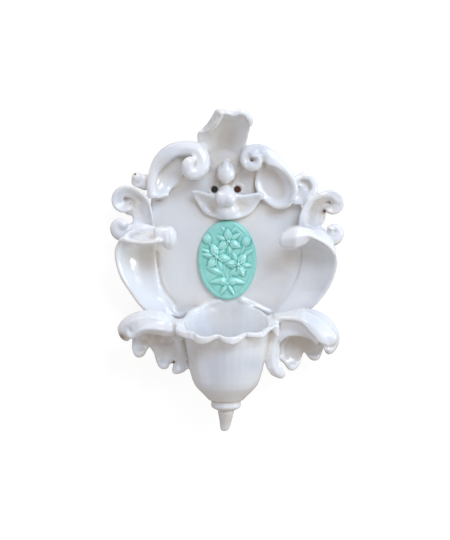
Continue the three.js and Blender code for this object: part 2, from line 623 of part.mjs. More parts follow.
function makeSideScrollRight() {
  const gutter = strap(flank(1), [
    [[-8, 8, -61], [-17, 3, -57], [-24, 2, -57], LEAF],
    [[7.5, 15, -54], [-4, 4, -46], [-16, 2, -47], LEAF],
    [[21.5, 20, -37], [10, 6, -35], [-10.5, 2, -37], LEAF],
    [[29, 25, -22], [15, 9, -21], [-3, 2, -22], LEAF],
    [[32.5, 28, -8], [18.5, 10, -7], [0.5, 2, -8], LEAF],
    [[29.5, 31, 1], [17, 12, 4], [1, 3, 3], LEAF],
    [[27, 34, 4], [13, 16, 10], [-5, 8, 12], LEAF],
    [[23, 36, 9], [9, 22, 19], [-8, 16, 21], LEAF],
  ], DISH_SIDES);
  const hood = strap(flank(1), [
    [[28.5, 28, 4], [29, 31, 1], [29.5, 32, -2], LEAF - 0.5],
    [[27, 22, 12], [26, 30, 8.5], [26, 36, 4.5], LEAF],
    [[19.5, 17, 20.5], [19, 28, 15.5], [18.5, 40, 10.5], LEAF],
    [[10, 15, 21.5], [9.5, 28, 19], [8, 42, 15.5], LEAF],
    [[2.5, 15, 20.5], [1, 30, 19], [0, 42, 18], LEAF + 4],
  ]);
  const knuckle = strap(flank(1), [
    [[-13, 31, 24], [-13, 31, 14], [-13, 31, 4], 18],
    [[-5, 31, 26.5], [-5.5, 32, 15.5], [-6, 31, 4], 24],
    [[5, 32, 23], [4, 34, 17], [1, 32, 9], 16],
  ]);
  return wasm.Manifold.union([gutter, hood, knuckle]);
}

const wing = (side) => ({ side, x: BOWL_WIDTH / 2 + WING_OUT, z: WING_RISE - MOUTH_FRONT_DROP });

// Wing rolls: the upper edge of each wing, rolled over from the back to the front, and the fold under it.
function makeWingRollLeft() {
  const upper = strap(wing(-1), [
    [[8.5, 24, 1.5], [8.5, 34, -6], [9, 30, -16], LEAF + 1],
    [[17, 22, 5.5], [17, 38, -1], [17, 34, -12], LEAF + 1],
    [[29, 22, 7.5], [29, 40, 2], [29, 36, -8.5], LEAF + 1],
    [[40, 22, 6.5], [40, 41, 0], [38, 37, -11], LEAF + 1],
    [[50, 22, 2], [50, 38, -4], [44, 35, -14], LEAF + 1],
    [[57, 22, -7], [56, 33, -11], [47, 32, -17], LEAF + 1.5],
    [[56.5, 22, -14], [53.5, 28, -16.5], [48.5, 29, -18.5], LEAF + 1],
  ]);
  const lower = strap(wing(-1), [
    [[10, 34, -7], [9, 36, -10.5], [9.5, 33, -15], LEAF + 3],
    [[17, 36, -3], [17, 40.5, -8], [18.5, 36, -13.5], LEAF + 3],
    [[27, 38, -2], [27, 42, -6.5], [29, 37, -11], LEAF + 3],
    [[35.5, 38, -4], [35.5, 41.5, -7.5], [36.5, 37, -11.5], LEAF + 3],
    [[40, 37, -8], [40, 40, -10.5], [41, 36, -15], LEAF + 2],
  ]);
  return wasm.Manifold.union([upper, lower]);
}

function makeWingRollRight() {
  const upper = strap(wing(1), [
    [[6, 22, 4], [6, 30, 2.5], [7, 38, 0.5], LEAF + 0.5],
    [[18, 20, 5], [18, 33, 4], [18, 43, 0.5], LEAF + 0.5],
    [[30, 18, 7.5], [30, 35, 6], [27, 45, -2], LEAF + 0.5],
    [[42, 17, 7], [41, 35, 2], [34, 45, -9], LEAF + 0.5],
    [[53, 17, 1.5], [50.5, 33, -5], [40.5, 44, -16], LEAF + 0.5],
    [[61.5, 17, -8], [57, 32, -14], [45.5, 42, -22], LEAF + 1],
    [[63.5, 18, -18], [59, 30, -23], [49, 38, -27.5], LEAF + 1.5],
    [[60.5, 20, -26], [57, 28, -28.5], [51, 34, -30], LEAF + 1],
  ]);
  const lower = strap(wing(1), [
    [[9, 35, 1.5], [9, 32, -11], [9.5, 35, -21.5], LEAF],
    [[17.5, 40, 2], [16.5, 34, -8.5], [14, 37, -16.5], LEAF],
    [[25.5, 42, 0.5], [25, 36, -9.5], [22, 38, -14], LEAF],
    [[32, 43, -5], [32, 38, -12], [30.5, 39, -15], LEAF],
    [[38.5, 42, -10.5], [38, 39, -15.5], [37.5, 39, -18], LEAF],
    [[43.5, 40, -16], [42.5, 39, -20], [42.5, 38, -22], LEAF],
  ]);
  return wasm.Manifold.union([upper, lower]);
}

// Wing leaves: three dished fingers that hang side by side from behind the roll.
function makeWingLeaf(side, fingers) {
  const parts = fingers.map((ribs) => strap(wing(side), ribs.map((rib) => [...rib, LEAF + 1.5]), SIDES, 1));
  return wasm.Manifold.union(parts);
}

const FINGERS_LEFT = [
  [
    [[48.5, 28, -2], [38.5, 26, 2], [27, 26, 3]],
    [[46.5, 27, -18.5], [38, 23, -19], [28.5, 25, -19]],
    [[46.5, 29, -26], [40, 25, -27.5], [31.5, 27, -26.5]],
    [[44, 32, -30.5], [40, 30, -32], [34.5, 31, -30.5]],
  ],
  [
    [[33.5, 27, 2], [20.5, 25, 1], [6, 25, -2]],
    [[33.5, 26, -21], [21, 21, -22], [6, 24, -21]],
    [[26.5, 27, -31], [17, 23, -32.5], [6, 27, -31]],
    [[24, 29, -38], [16.5, 25, -39.5], [7, 28, -38]],
    [[21.5, 32, -41.5], [17, 30, -43], [11.5, 32, -41.5]],
  ],
  [
    [[11.5, 27, -2], [0, 25, -3], [-11, 26, -4]],
    [[10.5, 26, -21], [0.5, 23, -22.5], [-10.5, 25, -21]],
    [[9, 27, -33], [0.5, 24, -34.5], [-10, 26, -33]],
    [[9.5, 29, -41.5], [1, 26, -43], [-9, 27, -41.5]],
    [[9, 31, -46], [4.5, 29, -48], [-4, 29, -46]],
  ],
];

const FINGERS_RIGHT = [
  [
    [[27.5, 28, -5], [40.5, 26, -5], [54.5, 24, -12]],
    [[30.5, 23, -25], [41, 19, -26], [52, 22, -24.5]],
    [[33.5, 22, -31.5], [42, 18, -33], [49, 21, -31.5]],
    [[37, 24, -35], [42, 22, -36], [46.5, 24, -35]],
  ],
  [
    [[7, 30, -6], [20, 28, -4], [34.5, 27, -4]],
    [[4, 27, -24.5], [20, 19, -27], [35, 21, -26]],
    [[5, 27, -33], [19, 19, -36.5], [31.5, 22, -34]],
    [[14, 25, -40], [21.5, 21, -42], [28.5, 24, -41]],
    [[16.5, 27, -43.5], [21, 25, -45], [25.5, 26, -44]],
  ],
  [
    [[-4.5, 33, -10], [3, 34, -10], [13, 27, -10]],
    [[-3, 30, -24.5], [2.5, 32, -24.5], [11, 28, -24.5]],
    [[-3.5, 29, -35.5], [2, 31, -35.5], [9.5, 28, -35.5]],
    [[-2.5, 28, -44], [3.5, 31, -43.5], [10, 28, -42]],
    [[2, 27, -50.5], [6.5, 30, -48], [12.5, 28, -46]],
    [[8.5, 27, -54], [11, 28, -51.5], [14, 27, -49]],
  ],
];

// Every piece in the order it is luted on: each is trimmed to the ones before it.
const PIECES = [
  ["back_plate", makeSlab()],
  ["bowl", makeBowl()],
  ["bowl_rim", makeRuffle()],
  ["bowl_collar", makeCollar()],
  ["pendant_drop", makeDrop()],
  ["medallion", makePlaque(), "aqua"],
  ["side_scroll_left", makeSideScrollLeft()],
  ["side_scroll_right", makeSideScrollRight()],
  ["bow_knob", makeKnob()],
  ["bow_leaf", makeBow()],
  ["top_scroll_left", makeTopScrollLeft()],
  ["top_scroll_right", makeTopScrollRight()],
  ["crest_bud", makeBud()],
  ["crest_shell", makeCrest()],
  ["wing_roll_left", makeWingRollLeft()],
  ["wing_roll_right", makeWingRollRight()],
  ["wing_leaf_left", makeWingLeaf(-1, FINGERS_LEFT)],
  ["wing_leaf_right", makeWingLeaf(1, FINGERS_RIGHT)],
  ["upper_curl_left", makeUpperCurlLeft()],
  ["upper_curl_right", makeUpperCurlRight()],
  ["ear_stub_left", makeEarLeft()],
  ["ear_curl_right", makeEarRight()],
  ["lower_curl_left", makeLowerCurlLeft()],
  ["lower_curl_right", makeLowerCurlRight()],
];

const stoup = new THREE.Group();
stoup.name = "wall_stoup";
const placed = [];
for (const [name, solid, glaze = "white"] of PIECES) {
  const box = (s) => new THREE.Box3().setFromArray([...s.boundingBox().min, ...s.boundingBox().max]);
  const near = placed.filter((other) => box(other).intersectsBox(box(solid)));
  const trimmed = near.reduce((left, other) => left.subtract(other), solid);
  const piece = largestBody(trimmed.simplify(SMOOTHING));
  placed.push(grown(solid));
  const material = new THREE.MeshStandardMaterial({ color: GLAZE[glaze], roughness: 0.2, metalness: 0 });
  const mesh = new THREE.Mesh(toGeometry(piece), material);
  mesh.name = name;
  stoup.add(mesh);
}

export default stoup;
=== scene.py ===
import math

import bpy
import numpy as np
import openvdb
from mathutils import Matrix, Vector


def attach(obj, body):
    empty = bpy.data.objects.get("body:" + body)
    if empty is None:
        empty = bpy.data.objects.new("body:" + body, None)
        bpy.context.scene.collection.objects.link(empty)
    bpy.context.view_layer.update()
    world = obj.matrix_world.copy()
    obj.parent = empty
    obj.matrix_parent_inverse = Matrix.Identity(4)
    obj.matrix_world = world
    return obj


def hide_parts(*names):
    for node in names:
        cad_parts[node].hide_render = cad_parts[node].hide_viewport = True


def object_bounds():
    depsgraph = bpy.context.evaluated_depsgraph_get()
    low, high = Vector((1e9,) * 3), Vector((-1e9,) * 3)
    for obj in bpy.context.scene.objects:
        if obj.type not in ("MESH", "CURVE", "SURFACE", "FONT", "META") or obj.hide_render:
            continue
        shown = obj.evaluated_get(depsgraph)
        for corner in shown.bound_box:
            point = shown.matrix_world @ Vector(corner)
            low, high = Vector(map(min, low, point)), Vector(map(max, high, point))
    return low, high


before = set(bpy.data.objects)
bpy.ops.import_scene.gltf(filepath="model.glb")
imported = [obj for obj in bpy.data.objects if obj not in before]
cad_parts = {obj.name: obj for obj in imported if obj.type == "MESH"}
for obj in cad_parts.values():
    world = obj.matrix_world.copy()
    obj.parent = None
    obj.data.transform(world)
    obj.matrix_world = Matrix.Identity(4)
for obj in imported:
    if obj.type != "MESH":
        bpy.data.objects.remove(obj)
cad_box = [list(corner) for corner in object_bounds()]

# Millimetres, in the frame of the solids: x to the right, y away from the viewer, z up.
MM = 0.001
SLAB_FRONT = -10.0
PLAQUE = "medallion"

# The clay is worked on a grid of distances to its skin.
VOXEL = 0.8
BAND = 7  # samples kept on either side of a skin
REACH = BAND * VOXEL
SLIP = 0.8  # how far slip and glaze fill the joint between two pieces
SOFTEN = 3  # passes that round off the tool's flats
THUMBS = ((3, 0.45), (7, 0.2))  # samples over which the clay is evened out, and what counts as an edge
SMEAR = 2.6  # slip where a joint was smeared over
FOOT_TOP = -190.0  # below this the clay was turned, so its joints are crisp
FOOT_BLEND = 4.0  # height over which that sets in
FOOT_SLIP = 0.3
FOOT_SOFTEN = 1
FOOT_AXIS = (0.0, -42.0)
FOOT_SQUASH = 0.9  # it is a little shallower than wide
FOOT_EVEN = 0.6  # share of the lumps that turning took away
# radius, level, width and depth of what was turned into it; a negative depth makes a bead
FOOT_GROOVES = ((14.2, -193.6, 0.9, 1.2), (8.4, -203.4, 0.9, 1.2), (12.6, -199.6, 2.6, -2.0))
LUMPS = ((16.0, 3, 0.35), (6.0, 7, 0.18))  # spacing, seed and height of what hands left uneven
GLAZE_COAT = 0.4  # thickness that the glaze adds
TUCK = 1.3  # how far a piece runs on under its neighbour
DIVE = 0.2  # slope at which it sinks there
POLISH = 12  # passes over the finished skin
SHRINK_AND_GROW = (0.5, -0.53)  # the two turns of a pass
RECESS_REACH = 4  # samples over which a joint is felt
RECESS_GAIN = 3.0
HOLLOW_REACH = 13  # samples over which a hollow is felt, for the shade painted in it
HOLLOW_GAIN = 2.0
CLEAN_BACK = 0.6 * SLAB_FRONT  # behind this the glaze has no stains and no painted shade
HOLE_SPACING = 21.6
HOLE_WIDTH = 6.6
EYELET = 0.7  # height of the lip pushed up round each hole
EYELET_AWAY = 1.6  # its distance from the hole's edge
EYELET_WIDTH = 1.0

# Hand work on the clay
STROKE_STEP = 0.7  # spacing of the touches that make a stroke
PIT_LENGTH = 0.1
FADE = 3  # widths after which a touch has died out
LIP_FRONT = -48.0  # in front of this the mouth's edge was pushed down
LIP_ROOT = -150.0  # only what lies above this was moved
LIP_EASE = (12.0, 14.0)  # distances over which the push sets in, forwards and up
LIP_TRIM = -56.0  # in front of this its lower edge was cut to a wavy line
LIP_DROP = (  # across, and how far it was pushed down
    (-45.3, 0.3), (-37.7, 1.5), (-29.4, 1.7), (-20.3, 3.9), (-13.9, 3.6), (-7.6, 2.1), (-1.3, 4.1),
    (8.1, 3.6), (17.1, 1.0), (27.3, 1.0), (33.9, 0.0),
)
LIP_LOW = (  # line of its lower edge, across and up
    (-45.3, -130.8), (-35.5, -133.8), (-28.4, -136.4), (-22.9, -138.5), (-16.0, -137.0), (-7.6, -133.1),
    (-1.3, -136.1), (5.0, -137.9), (11.3, -136.1), (17.6, -131.6), (25.1, -132.4), (32.7, -133.0),
    (38.3, -128.7), (45.3, -124.4),
)
SMEARS = (  # across, up, size and strength
    (-44.0, 5.0, 8.0, 1.0), (-2.0, 12.0, 8.0, 0.8), (60.0, -45.0, 8.0, 0.8), (-57.0, -44.0, 7.0, 1.0),
)
WEBS = (  # middle, radii and slip of sheets and ramps of clay between the pieces
    # inside the upper curls
    ((-88.0, -13.5, -14.5), (10.5, 4.0, 10.0), 1.5),
    ((86.5, -13.0, -23.0), (7.5, 3.6, 11.5), 1.5),
    ((93.0, -14.5, -15.5), (7.0, 3.6, 6.0), 1.5),
    # neck of the left hood, heart of the left volute, ramp by the stub, seat of the bud, top of that neck
    ((-60.0, -43.5, -43.0), (7.5, 8.0, 7.5), 3.0),
    ((-29.0, -25.5, 25.5), (3.5, 4.5, 6.5), 2.0),
    ((-76.0, -12.0, 6.5), (6.5, 5.5, 7.0), 2.5),
    ((0.8, -17.0, 20.5), (6.0, 6.0, 5.0), 2.0),
    ((-59.0, -42.5, -39.5), (7.0, 6.0, 4.5), 4.5),
)
PADS = (  # across, up, height of the middle above the clay, radii and slip
    # stub, dish of the right ear, ends of the wings' rolls
    (-83.0, 11.0, -1.5, (5.0, 4.5, 5.0), 1.5),
    (44.0, 3.0, -0.8, (12.0, 3.0, 14.0), 3.0),
    (-86.4, -133.0, -1.0, (4.5, 4.0, 4.0), 2.0),
    (94.0, -136.0, -3.5, (8.0, 6.0, 7.5), 3.0),
    # cheeks of the knob, saddle between the bow's dishes, slip round the bud
    (-3.6, -9.0, -4.5, (6.0, 6.0, 6.5), 2.5),
    (3.4, -9.5, -4.5, (5.5, 6.0, 6.0), 2.5),
    (0.5, -20.0, -2.8, (8.5, 4.5, 6.5), 4.0),
    (-11.0, 23.5, 0.0, (8.5, 3.0, 6.0), 3.5),
    (0.0, 29.5, 0.0, (9.0, 2.5, 4.0), 3.5),
    (9.5, 19.5, 0.5, (4.5, 3.0, 5.0), 3.0),
)
STROKES = (  # width, depth and line of each groove; a negative depth makes a bead
    # knuckle of the left hood, sides of the bud's tip
    (1.5, 1.2, ((-52.3, -39.1), (-51.5, -45.6), (-52.0, -52.0))),
    (2.5, 1.8, ((-5.0, 24.0), (-5.4, 21.0))),
    (2.5, 1.8, ((5.2, 24.0), (5.6, 21.0))),
    # back edge of the mouth, slit in the left wing
    (2.2, -2.2, ((-40.8, -117.7), (-31.4, -113.4), (-14.9, -107.0), (-5.9, -104.8))),
    (2.2, -2.2, ((14.4, -104.4), (26.6, -109.9), (40.6, -116.2))),
    (1.1, 3.4, ((-52.7, -163.1), (-47.5, -159.0))),
    # left hood: its hollow and both lips
    (4.5, 1.8, ((-84.0, -42.5), (-76.0, -41.0), (-68.0, -41.0))),
    (2.5, -1.8, ((-96.0, -46.0), (-88.0, -47.5), (-78.0, -48.5), (-68.0, -48.5), (-61.0, -47.0))),
    (2.0, -1.2, ((-91.0, -42.5), (-86.0, -38.8), (-80.0, -35.8), (-72.0, -35.0), (-64.0, -38.0))),
    # end of the left ear, rolled edge of the crest, inner edge of the left side scroll
    (4.0, 4.0, ((-50.5, -1.0), (-45.5, 4.0), (-42.0, 10.0))),
    (2.2, -1.8, ((-5.5, 67.5), (-9.5, 60.0), (-16.0, 52.5))),
    (1.5, -1.2, ((-68.3, -54.0), (-67.4, -65.6), (-65.1, -77.4), (-64.0, -89.1), (-60.8, -97.0),
                 (-53.0, -106.4), (-44.5, -118.5))),
    (1.3, 1.0, ((-65.0, -60.0), (-64.0, -75.0), (-61.5, -88.0), (-57.5, -97.0), (-49.0, -107.5))),
    # gutters and rims of the curls
    (3.0, 1.5, ((-73.8, -27.2), (-73.5, -19.4), (-76.4, -12.8), (-81.5, -9.2), (-88.0, -8.0), (-94.0, -9.5))),
    (2.8, 1.6, ((77.5, -31.0), (79.0, -23.3), (83.5, -16.5), (90.0, -13.0), (96.0, -12.5))),
    (2.2, -1.6, ((72.5, -30.0), (73.5, -22.0), (79.0, -11.5), (88.0, -6.0), (97.5, -6.5), (103.5, -11.0))),
    (1.4, 1.8, ((93.7, -37.3), (97.4, -40.0), (101.3, -39.2), (101.5, -35.5), (98.2, -34.6))),
    # folds of the wings
    (1.5, 2.2, ((-88.2, -127.5), (-87.0, -131.0), (-86.4, -133.5))),
    (2.0, 3.2, ((-48.5, -141.4), (-46.0, -148.9), (-46.8, -156.3), (-50.5, -161.0))),
    (2.0, 2.6, ((-39.2, -141.4), (-36.0, -150.5), (-35.0, -158.0))),
    (2.6, -1.6, ((-54.0, -146.0), (-55.5, -153.0), (-57.5, -160.0))),
    (1.8, 2.6, ((54.6, -138.9), (50.8, -144.7), (51.0, -152.0))),
    (1.8, 2.4, ((60.0, -140.2), (56.5, -146.4), (55.8, -155.0))),
    (1.5, 2.0, ((86.8, -143.2), (92.6, -145.0), (99.0, -145.0))),
    # nips in the lip
    (1.6, 2.6, ((-29.6, -129.6), (-28.9, -133.5))),
    (1.6, 2.6, ((-7.4, -130.2), (-6.8, -133.0))),
    (1.6, 2.6, ((17.4, -128.8), (17.2, -131.2))),
    (1.6, 2.6, ((34.5, -125.6), (35.0, -128.6))),
    # hollow of the crest's rolled edge, right volute and its eye, hook of the right ear
    (3.2, 2.6, ((-20.5, 54.0), (-14.5, 59.0), (-9.0, 65.0))),
    (1.7, 2.4, ((36.0, 20.0), (34.5, 28.0), (29.7, 33.8), (23.5, 33.4), (18.8, 28.1), (19.6, 22.0))),
    (2.6, 2.6, ((23.0, 26.9), (25.2, 26.3))),
    (2.6, 4.0, ((66.5, 4.5), (70.6, 6.5), (75.5, 5.5), (77.5, 2.0))),
    (3.0, -3.2, ((66.0, 10.0), (71.0, 12.5), (77.5, 11.0), (81.5, 5.0), (81.0, -2.0), (76.0, -7.5))),
)
PITS = (  # across, up, width and depth of pinholes
    (24.0, 26.5, 1.1, 2.0), (92.0, -20.5, 1.1, 2.0), (-84.5, 13.8, 1.0, 1.4), (-89.8, -13.5, 0.9, 1.2),
    (-91.0, -31.5, 0.9, 1.2),
)
PAINTED_WARM_SHADE = (  # across, up, size and strength of the places where a warm grey shade is painted
    (-3.0, 47.0, 19.0, 1.1), (-74.0, -60.0, 13.0, 1.1), (-72.0, -76.0, 10.0, 0.5), (72.0, -60.0, 12.0, 0.5),
    (58.0, -66.0, 9.0, 0.4), (-62.0, -142.0, 15.0, 1.0), (-70.0, -148.0, 10.0, 1.3),
    (68.0, -147.0, 15.0, 1.5), (-86.0, -11.0, 12.0, 1.0), (91.0, -17.0, 12.0, 1.4), (0.0, 8.0, 15.0, 0.3),
    (-57.0, 22.0, 11.0, 0.7), (-0.5, -211.0, 9.0, 1.3), (-22.0, -144.0, 10.0, 0.9),
    (-8.0, -141.0, 7.0, 0.5), (-36.0, -155.0, 9.0, 0.6),
)
PAINTED_COOL_SHADE_AND_REFLECTION = (  # the same for a painted blue-grey reflection and shade
    (-56.5, 36.0, 14.0, 0.9), (33.5, 34.5, 11.0, 0.8), (0.0, -160.0, 22.0, 0.9), (77.0, -120.0, 13.0, 0.8),
    (-19.5, -17.5, 8.0, 0.7), (-98.5, -8.0, 9.0, 1.2), (98.0, -8.0, 8.0, 0.7), (-27.0, 16.0, 9.0, 0.5),
    (-17.0, 60.0, 7.0, 1.2), (0.0, -9.0, 8.0, 0.6), (27.0, -158.0, 10.0, 0.7),
)
BARE = (  # the same for bare clay, and for near-black in the pits
    (-96.0, -135.5, 7.0, 0.7), (-66.0, -10.8, 2.0, 0.5), (-63.0, -10.4, 1.6, 0.6),
    (-60.0, -10.6, 2.0, 0.45), (-48.0, -159.4, 1.1, 1.9), (-49.6, -160.7, 0.9, 1.4),
    (-51.2, -162.0, 0.8, 1.1), (-84.5, 13.8, 1.2, 1.8), (24.0, 26.5, 1.2, 1.6), (92.0, -20.5, 1.3, 2.0),
    (-89.8, -13.5, 1.0, 1.0), (-91.0, -31.5, 1.0, 1.0),
)

# Oval plaque: places are measured from its middle
PLAQUE_MIDDLE = (0.9, -66.5)
PLAQUE_HALF = (27.75, 37.5)
PLAQUE_LOW = -0.6  # it is pressed a little into the slab
PLAQUE_HIGH = 4.8
PLAQUE_EDGE = 2.5  # rounding
PLAQUE_CROWN = 0.8
PLAQUE_LINE = 0.3  # depth of the line that frames the field
PLAQUE_LINE_AT = 0.86  # share of the way to the edge
PLAQUE_LINE_WIDTH = 0.012
PLAQUE_POINTS = 180
PLAQUE_FIELD = 0.93  # share of the points that lie inside the rounding
PETAL_POINTS = (15, 25)  # across and along
FEEL_FROM = 20 * MM  # the spray is felt for from this far in front of the field
FEEL_LENGTH = 30 * MM
RELIEF_SOFT = (2, 0.8)  # passes and strength that take the edges off the relief
RELIEF_WIDE = (24, 1.0)  # the same for the level round about
CREASE_GLAZE = 900.0  # how much glaze runs into a crease, lies on the field and leaves a high place
FIELD_GLAZE = 0.15
HIGH_GLAZE = 90.0
SPRAY_SIZES = {
    "Petal length": 10.5 * MM,
    "Petal width": 6.2 * MM,
    "Leaf length": 15.0 * MM,
    "Leaf width": 4.6 * MM,
    "Relief": 3.0 * MM,
    "Stem": 0.8 * MM,
    "Unevenness": 0.5 * MM,
}
TIE = (0.5, -22.0)
STEMS = (((-1, -6), (-9.5, 3)), ((2, -8), (10, -4)), ((0, 0), (1.5, 17)),
         ((-9, -6), (-17, 18)), ((10, -4), (16.5, 14)))
LILIES = ((-9.5, 3, 20, 1.28), (10.5, -4, -35, 1.22), (1.5, 17.5, 5, 1.22))  # place, turn and size
BUDS = ((-17, 15.5, 20, 1.15), (16.5, 13, -18, 1.15))
LEAVES = ((-3, -13, 68, 1.25), (3, -14, -70, 1.2), (-5, -11, 36, 1.0), (5, -13, -32, 1.0), (-14, 6, 66, 0.75),
          (14, 4, -60, 0.8), (0, -18, 100, 1.15), (1, -18, -102, 1.15), (-1, 26, 38, 0.5), (4, 26, -42, 0.5))

# Camera, in pixels of the picture and in metres
PICTURE_HEIGHT = 540
PICTURE_SHIFT = (-1, -1.5)
FOCAL_LENGTH = 1075
SENSOR = 36.0  # millimetres
EYE_RISE = 3  # degrees
EYE_DISTANCE = 1.0
EYE_AIM = (0, -0.025, -0.0738)

# Light and wall, in metres
LAMP_AIM = (0, -0.03, -0.08)
LAMPS = {  # place, width, watts, tint and whether the glaze mirrors it
    "window": ((0.57, -1.02, 0.72), 0.7, 9.5, (0.72, 0.84, 1.0)),
    "side_window": ((1.35, -0.4, -0.08), 0.3, 5.2, (0.94, 1.0, 0.98)),
    "ceiling": ((-0.55, -0.23, 1.19), 0.4, 4.2, (1.0, 0.86, 0.56)),
    "room": ((0.1, -1.4, -0.45), 0.6, 1.2, (1.0, 0.94, 0.88)),
    "table": ((0.15, -0.9, -0.85), 0.5, 0.7, (0.65, 0.82, 1.0), False),
    "floor": ((-1.08, -0.42, -0.88), 0.8, 1.6, (0.41, 0.63, 1.0)),
}
WALL_GAP = 0.0015
WALL_HALF = 3.0
WALL_PAINT = 0.26
WALL_GLOW = 0.83
COVERED_HALF = (0.018, 0.008)  # half the size of the painted shade behind the holes
COVERED_EDGE = 0.002


# Clay fields

origin = np.floor(np.array(cad_box[0]) / MM / VOXEL).astype(int) - BAND - 2
extent = np.ceil(np.array(cad_box[1]) / MM / VOXEL).astype(int) + BAND + 3 - origin


def places(start, shape):
    """Coordinates of a block of samples, as three arrays that broadcast."""
    axes = [(origin[k] + start[k] + np.arange(shape[k])) * VOXEL for k in range(3)]
    return [a.astype(np.float32) for a in np.meshgrid(*axes, indexing="ij", sparse=True)]


def block(start, shape):
    """Slices of the whole grid that a block covers."""
    return tuple(slice(a, a + n) for a, n in zip(start, shape))


def vertices_of(mesh):
    points = np.empty(3 * len(mesh.vertices), np.float32)
    mesh.vertices.foreach_get("co", points)
    return points.reshape(-1, 3) / MM


def triangles_of(mesh):
    corners = np.empty(len(mesh.loops), np.int32)
    mesh.loops.foreach_get("vertex_index", corners)
    return corners.reshape(-1, 3)


def clay_field(mesh):
    """Where a node's block of samples starts, and its distances."""
    points = vertices_of(mesh)
    skin = openvdb.FloatGrid.createLevelSetFromPolygons(
        points,
        triangles=triangles_of(mesh).astype(np.uint32),
        transform=openvdb.createLinearTransform(VOXEL),
        halfWidth=BAND,
    )
    low = np.floor(points.min(0) / VOXEL).astype(int) - BAND - 1
    high = np.ceil(points.max(0) / VOXEL).astype(int) + BAND + 2
    field = np.empty(high - low, np.float32)
    skin.copyToArray(field, ijk=tuple(int(v) for v in low))
    return low - origin, field


def lumps(spacing, seed):
    """Soft random unevenness over the whole grid, about one high or low for each spacing."""
    rng = np.random.default_rng(seed)
    counts = [int(n * VOXEL / spacing) + 4 for n in extent]
    values = rng.standard_normal(counts).astype(np.float32)
    for axis, n in enumerate(extent):
        at = np.arange(n) * VOXEL / spacing
        first = at.astype(int)
        t = (at - first).astype(np.float32)
        weights = np.zeros((n, counts[axis]), np.float32)
        spline = [(1 - t) ** 3, 3 * t**3 - 6 * t**2 + 4, -3 * t**3 + 3 * t**2 + 3 * t + 1, t**3]
        for step, share in enumerate(spline):
            weights[np.arange(n), first + step] = share / 6
        values = np.moveaxis(np.tensordot(weights, values, (1, axis)), 0, axis)
    return values


def softened(field, passes):
    """The field with its creases rounded off."""
    for _ in range(passes):
        for axis in range(3):
            ahead = np.concatenate([np.take(field, range(1, field.shape[axis]), axis),
                                    np.take(field, [-1], axis)], axis)
            behind = np.concatenate([np.take(field, [0], axis),
                                     np.take(field, range(field.shape[axis] - 1), axis)], axis)
            field = 0.5 * field + 0.25 * (ahead + behind)
    return field


def blurred(field, reach):
    """Mean over a cube of samples."""
    for axis in range(3):
        sums = np.cumsum(field, axis=axis, dtype=np.float32)
        n = field.shape[axis]
        high = np.take(sums, np.minimum(np.arange(n) + reach, n - 1), axis)
        low = np.take(sums, np.maximum(np.arange(n) - reach - 1, 0), axis)
        field = (high - low) / (2 * reach + 1)
    return field


def sampled(field, points):
    """Field values at points in millimetres, between the samples."""
    at = points / VOXEL - origin
    first = np.clip(np.floor(at).astype(int), 0, np.array(field.shape) - 2)
    t = (at - first).astype(np.float32)
    total = np.zeros(len(points), np.float32)
    for i in (0, 1):
        for j in (0, 1):
            for k in (0, 1):
                share = np.abs(1 - i - t[:, 0]) * np.abs(1 - j - t[:, 1]) * np.abs(1 - k - t[:, 2])
                total += share * field[first[:, 0] + i, first[:, 1] + j, first[:, 2] + k]
    return total


# Skins

def polished(points, quads, passes):
    """Points smoothed in turns that shrink and grow, so that the form keeps its size."""
    sides = np.sort(np.concatenate([quads[:, [k, (k + 1) % 4]] for k in range(4)]), axis=1)
    sides = np.unique(sides, axis=0)
    count = np.bincount(sides.ravel(), minlength=len(points))[:, None]
    for turn in range(2 * passes):
        mean = np.zeros_like(points)
        for k in range(3):
            mean[:, k] = np.bincount(sides[:, 0], points[sides[:, 1], k], len(points))
            mean[:, k] += np.bincount(sides[:, 1], points[sides[:, 0], k], len(points))
        points = points + SHRINK_AND_GROW[turn % 2] * (mean / count - points)
    return points


def largest_shell(points, quads):
    """The same skin without loose crumbs."""
    label = np.arange(len(points))
    while True:
        lowest = label[quads].min(1)
        fresh = label.copy()
        np.minimum.at(fresh, quads, lowest[:, None])
        fresh = fresh[fresh]
        if np.array_equal(fresh, label):
            break
        label = fresh
    names, sizes = np.unique(label, return_counts=True)
    kept = label == names[sizes.argmax()]
    number = np.cumsum(kept) - 1
    return points[kept], number[quads[kept[quads[:, 0]]]]


def faced_out(points, quads):
    """Quads turned round where they enclose a negative volume."""
    a, b, c, d = (points[quads[:, k]] for k in range(4))
    volume = np.einsum("ij,ij->i", np.cross(c - a, d - b), a + b + c + d).sum()
    return quads if volume > 0 else quads[:, ::-1]


def skin_of(start, field):
    """Points and quads of the skin in a block of distances."""
    grid = openvdb.FloatGrid(float(field.max()))
    grid.transform = openvdb.createLinearTransform(VOXEL)
    grid.gridClass = openvdb.GridClass.LEVEL_SET
    grid.copyFromArray(field, ijk=tuple(int(v) for v in start + origin))
    points, quads = grid.convertToQuads(isovalue=0.0)
    points, quads = largest_shell(points.astype(np.float64), quads.astype(np.int64))
    quads = faced_out(points, quads)
    return polished(points, quads, POLISH), quads


def mesh_of(name, points, quads, values):
    """A smooth mesh in metres with one number of each kind at every point."""
    mesh = bpy.data.meshes.new(name)
    mesh.vertices.add(len(points))
    mesh.vertices.foreach_set("co", (points * MM).astype(np.float32).ravel())
    mesh.loops.add(quads.size)
    mesh.loops.foreach_set("vertex_index", quads.astype(np.int32).ravel())
    mesh.polygons.add(len(quads))
    mesh.polygons.foreach_set("loop_start", np.arange(0, quads.size, 4, dtype=np.int32))
    mesh.update(calc_edges=True)
    mesh.validate()
    mesh.shade_smooth()
    for kind, numbers in values.items():
        mesh.attributes.new(kind, "FLOAT", "POINT").data.foreach_set("value", numbers.astype(np.float32))
    return mesh


